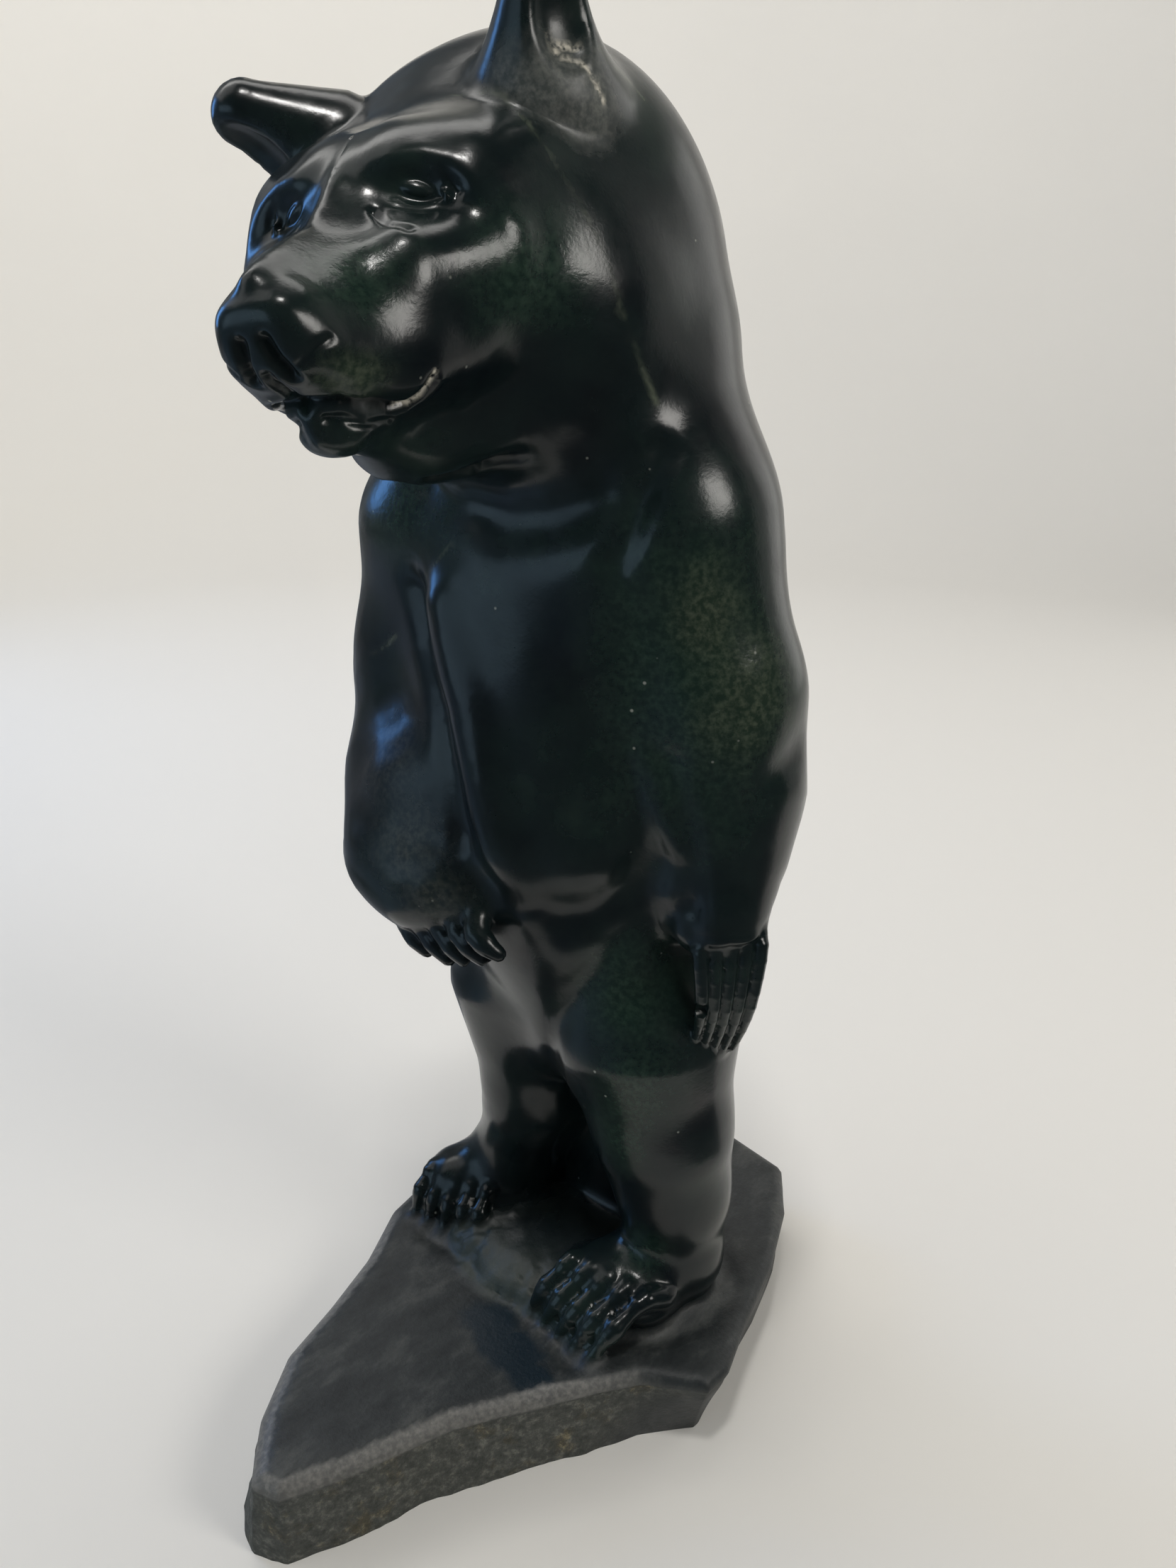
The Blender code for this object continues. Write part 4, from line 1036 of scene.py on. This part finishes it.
def jade():
    """Polished jade on the bear, ground stone on the slab's top and mound, raw stone on its broken sides."""
    n = Nodes("jade")
    patches = n.noise(PATCH_SIZE, 5.0, 0.65, 4.0)
    speckle = n.range(n.noise(SPECKLE_SIZE, 3.0, 0.6, 2.0), 0.40, 0.66)
    worn = n.broken("worn", patches)
    ground = n.mark("ground")
    raw = n.mark("raw")
    # Painted shade on the ground in front of the feet, which is also smoother there
    smooth_painted_shade = n.times(n.broken("smooth_painted_shade", patches, 0.3, 0.6), ground)
    bevel = n.times(n.broken("bevel", patches, 0.2, 0.7), 0.85)
    colour = jade_colour(n, patches, speckle, worn)
    colour = n.mix(ground, colour, ground_colour(n, smooth_painted_shade))
    colour = n.mix(bevel, colour, n.mix(speckle, *BEVEL_TONES))
    colour = n.mix(raw, colour, raw_colour(n, patches))
    rough = n.range(n.noise(POLISH_SIZE, 6.0, 0.6, 12.0), 0.3, 0.7, *POLISH_ROUGHNESS)
    rough = n.mix(worn, rough, WORN_ROUGHNESS, "FLOAT")
    rough = n.mix(n.mark("rough"), rough, GRAINY_ROUGHNESS, "FLOAT")
    rough = n.mix(ground, rough, n.mix(smooth_painted_shade, GROUND_ROUGHNESS, PAINTED_SHADE_ROUGHNESS, "FLOAT"), "FLOAT")
    rough = n.mix(raw, rough, RAW_ROUGHNESS, "FLOAT")
    bump = jade_bump(n, raw, ground, speckle)
    n.put(n.shader, {"Base Color": colour, "Roughness": rough, "IOR": JADE_IOR, "Normal": bump})
    return n.material


def jade_colour(n, patches, speckle, worn):
    """Nearly black green stone with green and olive patches, pale veins and flecks."""
    colour = n.steps(n.noise(CLOUD_SIZE, 6.0, 0.6), JADE_TONES)
    colour = n.mix(n.broken("green", patches), colour, n.mix(speckle, *GREEN_TONES))
    colour = n.mix(n.broken("olive", patches), colour, n.mix(speckle, *OLIVE_TONES))
    colour = n.mix(n.times(n.mark("rough"), speckle), colour, GRAINY_TONE)
    colour = n.mix(n.times(worn, 0.8), colour, n.mix(speckle, *WORN_TONES))
    faint = n.range(n.noise(VEIN_SIZE, 2.0, 0.5, 20.0), 0.38, 0.62, 0.05, 0.75)
    colour = n.mix(n.times(n.mark("vein"), faint), colour, VEIN_TONE)
    pits = n.range(n.noise(PIT_SIZE, 2.0, 0.5, 6.0), 0.35, 0.55)
    colour = n.mix(n.times(n.mark("scratch"), pits), colour, SCRATCH_TONE)
    return n.mix(n.times(n.flecks(FLECK_SPACING, FLECK_SIZE, 2.5), 0.6), colour, FLECK_TONE)


def ground_colour(n, smooth_painted_shade):
    """Matte grey stone with cloudy lighter patches, and painted shade, darker and bluer, on smoother patches
    in front of the feet.
    """
    dust = n.noise(DUST_SIZE, 8.0, 0.72, 8.0, DUST_STRETCH)
    colour = n.steps(dust, GROUND_TONES)
    colour = n.mix(n.times(n.mark("mound"), 0.7), colour, n.mix(dust, *MOUND_TONES))
    # Painted shade, darker and bluer, in front of the feet
    return n.mix(smooth_painted_shade, colour, PAINTED_SHADE_TONE)


def raw_colour(n, patches):
    """Broken grey-green stone, stained golden brown in places."""
    grain = n.noise(BROKEN_SIZE, 6.0, 0.75, 10.0)
    stained = n.range(patches, 0.54, 0.66, 0.0, 0.8)
    return n.mix(stained, n.steps(grain, RAW_TONES), n.steps(grain, STAIN_TONES))


def jade_bump(n, raw, ground, speckle):
    """Fine grain and slow waves in the polish, and the coarse grain of ground and raw stone."""
    fine = n.bump(n.noise(GRAIN_SIZE, 3.0, 0.6, 14.0), 0.06, 0.0004)
    grainy = n.bump(n.times(n.mark("green"), speckle), 0.10, 0.0003, fine)
    waves = n.bump(n.noise(WAVE_SIZE, 3.0, 0.5, 16.0), 0.12, 0.0010, grainy)
    depth = n.mix(raw, n.times(ground, 0.25), 1.0, "FLOAT")
    return n.bump(n.times(n.noise(COARSE_SIZE, 5.0, 0.7, 18.0), depth), 0.8, 0.0012, waves)


# The stone's tones, as plain colours, pairs to mix by the speckle, or stops along the noise

JADE_TONES = [(0.35, (0.0035, 0.006, 0.0075)), (0.55, (0.007, 0.013, 0.013)), (0.75, (0.014, 0.026, 0.021))]
GREEN_TONES = ((0.007, 0.018, 0.014), (0.019, 0.038, 0.027))
OLIVE_TONES = ((0.013, 0.024, 0.016), (0.046, 0.06, 0.04))
GRAINY_TONE = (0.045, 0.047, 0.04)
WORN_TONES = ((0.07, 0.078, 0.074), (0.17, 0.175, 0.16))
VEIN_TONE = (0.09, 0.105, 0.075)
SCRATCH_TONE = (0.55, 0.52, 0.44)
FLECK_TONE = (0.35, 0.36, 0.32)
GROUND_TONES = [(0.36, (0.009, 0.012, 0.013)), (0.5, (0.022, 0.026, 0.027)), (0.66, (0.062, 0.066, 0.063))]
MOUND_TONES = ((0.008, 0.015, 0.014), (0.06, 0.074, 0.058))
# Painted shade on the ground in front of the feet
PAINTED_SHADE_TONE = (0.009, 0.017, 0.024)
BEVEL_TONES = ((0.105, 0.105, 0.101), (0.19, 0.185, 0.172))
RAW_TONES = [(0.34, (0.036, 0.039, 0.035)), (0.52, (0.072, 0.076, 0.068)), (0.68, (0.17, 0.17, 0.15))]
STAIN_TONES = [(0.38, (0.04, 0.038, 0.028)), (0.54, (0.095, 0.082, 0.05)), (0.66, (0.3, 0.255, 0.15))]

# Sizes of the noise's forms, in metres, and the gloss

CLOUD_SIZE = 0.03
PATCH_SIZE = 0.009
SPECKLE_SIZE = 0.0016
VEIN_SIZE = 0.006
PIT_SIZE = 0.0012
FLECK_SPACING = 0.006
FLECK_SIZE = 0.0011
DUST_SIZE = 0.02
DUST_STRETCH = (1.6, 0.8, 1.0)
STRETCH_TURN = 0.5
BROKEN_SIZE = 0.0024
POLISH_SIZE = 0.01
GRAIN_SIZE = 0.0008
WAVE_SIZE = 0.012
COARSE_SIZE = 0.002
POLISH_ROUGHNESS = (0.16, 0.28)
WORN_ROUGHNESS = 0.5
GRAINY_ROUGHNESS = 0.42
GROUND_ROUGHNESS = 0.46
# Roughness of the smoother patches with painted shade in front of the feet
PAINTED_SHADE_ROUGHNESS = 0.28
RAW_ROUGHNESS = 0.85
JADE_IOR = 1.44
STUDIO_ROUGHNESS = 0.9


def backdrop():
    """Pale painted plaster with faint clouds, a little darker on the floor."""
    n = Nodes("pale_backdrop")
    shaded = tuple(WALL_SHADE * c for c in WALL_PALE)
    pale = n.steps(n.noise(WALL_CLOUD_SIZE, 3.0, 0.5), [(0.3, WALL_PALE), (0.7, shaded)])
    height = n.add("ShaderNodeSeparateXYZ", {"Vector": n.place}).outputs["Z"]
    tone = n.mix(n.range(height, 0.0, COVE_RADIUS), FLOOR_PALE, pale)
    n.put(n.shader, {"Base Color": tone, "Roughness": STUDIO_ROUGHNESS})
    return n.material


def room_painted_light():
    """Painted light and shade for the polish to reflect: a tone that changes round the upright axis, grey and
    blue light at the bear's right, shade in front.
    """
    n = Nodes("room_painted_light")
    angle = n.add("ShaderNodeTexGradient", {"Vector": n.place}, gradient_type="RADIAL").outputs["Fac"]
    tones = n.steps(angle, [((azimuth + 90.0) / 360.0 % 1.0, tone) for azimuth, tone in ROOM_TONES])
    folds = n.range(n.noise(FOLD_SIZE, 3.0, 0.5), 0.3, 0.7)
    n.put(n.shader, {"Base Color": n.mix(folds, tones, FOLD_TONE), "Roughness": STUDIO_ROUGHNESS})
    return n.material


WALL_PALE = (0.86, 0.84, 0.8)
WALL_SHADE = 0.97
WALL_CLOUD_SIZE = 0.35
FLOOR_PALE = (0.78, 0.765, 0.73)
FOLD_SIZE = 0.2
FOLD_TONE = (0.02, 0.024, 0.028)
# Painted light and shade that the polish reflects, by azimuth: grey and blue light at the bear's right, dark
# towards its front and left
ROOM_TONES = [
    (-90.0, (0.36, 0.39, 0.44)),
    (-66.0, (0.36, 0.41, 0.48)),
    (-54.0, (0.28, 0.42, 0.6)),
    (-10.0, (0.28, 0.4, 0.55)),
    (28.0, (0.07, 0.09, 0.11)),
    (120.0, (0.04, 0.045, 0.048)),
    (140.0, (0.2, 0.2, 0.2)),
    (235.0, (0.05, 0.09, 0.15)),
    (250.0, (0.4, 0.42, 0.45)),
]


# The studio


def swept(name, profile, start, sweep, steps, material):
    """A surface swept round the upright axis from a profile of (radius, height), seen from inside."""
    bm = bmesh.new()
    a, angle = math.radians(start), math.radians(sweep)
    verts = [bm.verts.new((r * math.sin(a), -r * math.cos(a), z)) for r, z in profile]
    edges = [bm.edges.new(pair) for pair in zip(verts, verts[1:])]
    bmesh.ops.spin(bm, geom=verts + edges, cent=(0, 0, 0), axis=(0, 0, 1), angle=angle, steps=steps)
    bmesh.ops.remove_doubles(bm, verts=bm.verts, dist=0.0001)
    bmesh.ops.recalc_face_normals(bm, faces=bm.faces)
    mesh = bpy.data.meshes.new(name)
    bm.to_mesh(mesh)
    bm.free()
    mesh.materials.append(material)
    mesh.shade_smooth()
    obj = placed(name, mesh)
    return obj


def cove_profile(inner, inset):
    """Floor from the inner radius, the bend, and the wall, all set in from the cove by the inset."""
    bend = COVE_RADIUS - inset
    profile = [(inner + (FLOOR_RADIUS - inner) * share, inset) for share in (0.0, 0.3, 0.6, 1.0)]
    for step in range(1, BEND_STEPS + 1):
        angle = math.radians(90.0 * step / BEND_STEPS)
        profile.append((FLOOR_RADIUS + bend * math.sin(angle), COVE_RADIUS - bend * math.cos(angle)))
    profile.append((FLOOR_RADIUS + bend, WALL_HEIGHT))
    return profile


def studio():
    """A pale floor that curves up into a wall all round, and a dark room with painted light and shade that
    only the polish reflects.
    """
    swept("cove", cove_profile(0.0, 0.0), 0.0, 360.0, COVE_STEPS, backdrop())
    room_profile = cove_profile(ROOM_START, ROOM_INSET)
    room = swept("room", room_profile, ROOM_FROM, ROOM_SWEEP, ROOM_STEPS, room_painted_light())
    room.visible_camera = False
    room.visible_diffuse = False
    room.visible_shadow = False


FLOOR_RADIUS = 1.2
COVE_RADIUS = 0.5
WALL_HEIGHT = 2.4
BEND_STEPS = 8
COVE_STEPS = 96
ROOM_STEPS = 48
ROOM_START = 0.165
ROOM_INSET = 0.004
ROOM_FROM = -125.0
ROOM_SWEEP = 255.0


def around(azimuth, elevation, distance):
    """A place that far from the carving's middle, in that direction."""
    a, e = math.radians(azimuth), math.radians(elevation)
    away = Vector((math.sin(a) * math.cos(e), -math.cos(a) * math.cos(e), math.sin(e)))
    return MIDDLE + away * distance


MIDDLE = Vector((0.0, 0.0, 0.2))


def lamp(name, place, size, power, colour, aim=None):
    """A soft rectangular lamp, set around the carving and turned to its middle or to the aim."""
    light = bpy.data.lights.new(name, "AREA")
    light.shape = "RECTANGLE"
    light.size, light.size_y = size
    light.energy = power
    light.color = colour
    obj = placed(name, light)
    obj.location = around(*place)
    target = around(*aim) if aim else MIDDLE
    obj.rotation_euler = (target - obj.location).to_track_quat("-Z", "Y").to_euler()


def camera(figure_place):
    a = math.radians(CAMERA_AZIMUTH)
    back = Vector((math.sin(a), -math.cos(a), 0.0))
    right = Vector((math.cos(a), math.sin(a), 0.0))
    data = bpy.data.cameras.new("camera")
    data.sensor_width = SENSOR
    data.lens = SENSOR * LENS_OVER_IMAGE
    data.clip_start = 0.01
    obj = placed("camera", data)
    up = Vector((0.0, 0.0, CAMERA_HEIGHT))
    obj.location = figure_place + back * CAMERA_DISTANCE + right * CAMERA_SIDE + up
    obj.rotation_euler = (math.radians(90.0 - CAMERA_PITCH), 0.0, a)
    bpy.context.scene.camera = obj
    bpy.context.scene.view_settings.view_transform = "Standard"


def world():
    sky = bpy.data.worlds.new("studio")
    bpy.context.scene.world = sky
    sky.use_nodes = True
    background = sky.node_tree.nodes["Background"]
    background.inputs["Color"].default_value = WORLD_TONE
    background.inputs["Strength"].default_value = WORLD_STRENGTH


# The lamps: place (azimuth, elevation, distance), size, power, colour, and what the wash is aimed at. The key
# is at the bear's left, the wash lights the wall behind, the sky is a bluish panel in front.

WARM = (1.0, 0.98, 0.95)
LAMPS = {
    "key": ((96.0, 30.0, 0.9), (0.3, 0.3), 2.6, (1.0, 0.97, 0.92)),
    "wash": ((246.0, 60.0, 1.3), (1.3, 0.9), 10.0, WARM, (225.0, 4.0, 1.5)),
    "top": ((30.0, 74.0, 1.3), (0.14, 0.14), 4.5, WARM),
    "sky": ((-22.0, 8.0, 1.45), (1.2, 0.7), 2.3, (0.53, 0.78, 1.0)),
    "edge": ((162.0, 14.0, 1.1), (0.5, 0.8), 1.0, WARM),
    "fill": ((-62.0, 52.0, 1.4), (1.0, 1.0), 2.6, (1.0, 0.99, 0.97)),
    "window": ((-80.0, 18.0, 1.1), (0.25, 0.45), 1.6, (0.15, 0.42, 1.0)),
}
WORLD_TONE = (1.0, 0.97, 0.93, 1.0)
WORLD_STRENGTH = 0.03


def lights():
    for name, row in LAMPS.items():
        lamp(name, *row)


SHARP_ANGLE = 60.0


def main():
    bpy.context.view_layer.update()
    mesh = carve()
    cut_flat(mesh, -SLAB_THICKNESS / SCALE)
    p = points_of(mesh)
    middle = (p.min(axis=0) + p.max(axis=0)) / 2
    set_in_box(mesh, *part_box("bear_carving"))
    mesh.materials.append(jade())
    mesh.shade_smooth()
    mesh.set_sharp_from_angle(angle=math.radians(SHARP_ANGLE))
    piece = placed("bear_carving_fine", mesh)
    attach(piece, "root")
    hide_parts("bear_carving")
    studio()
    camera(Vector((-middle[0] * SCALE, -middle[1] * SCALE, 0.0)))
    lights()
    world()


main()
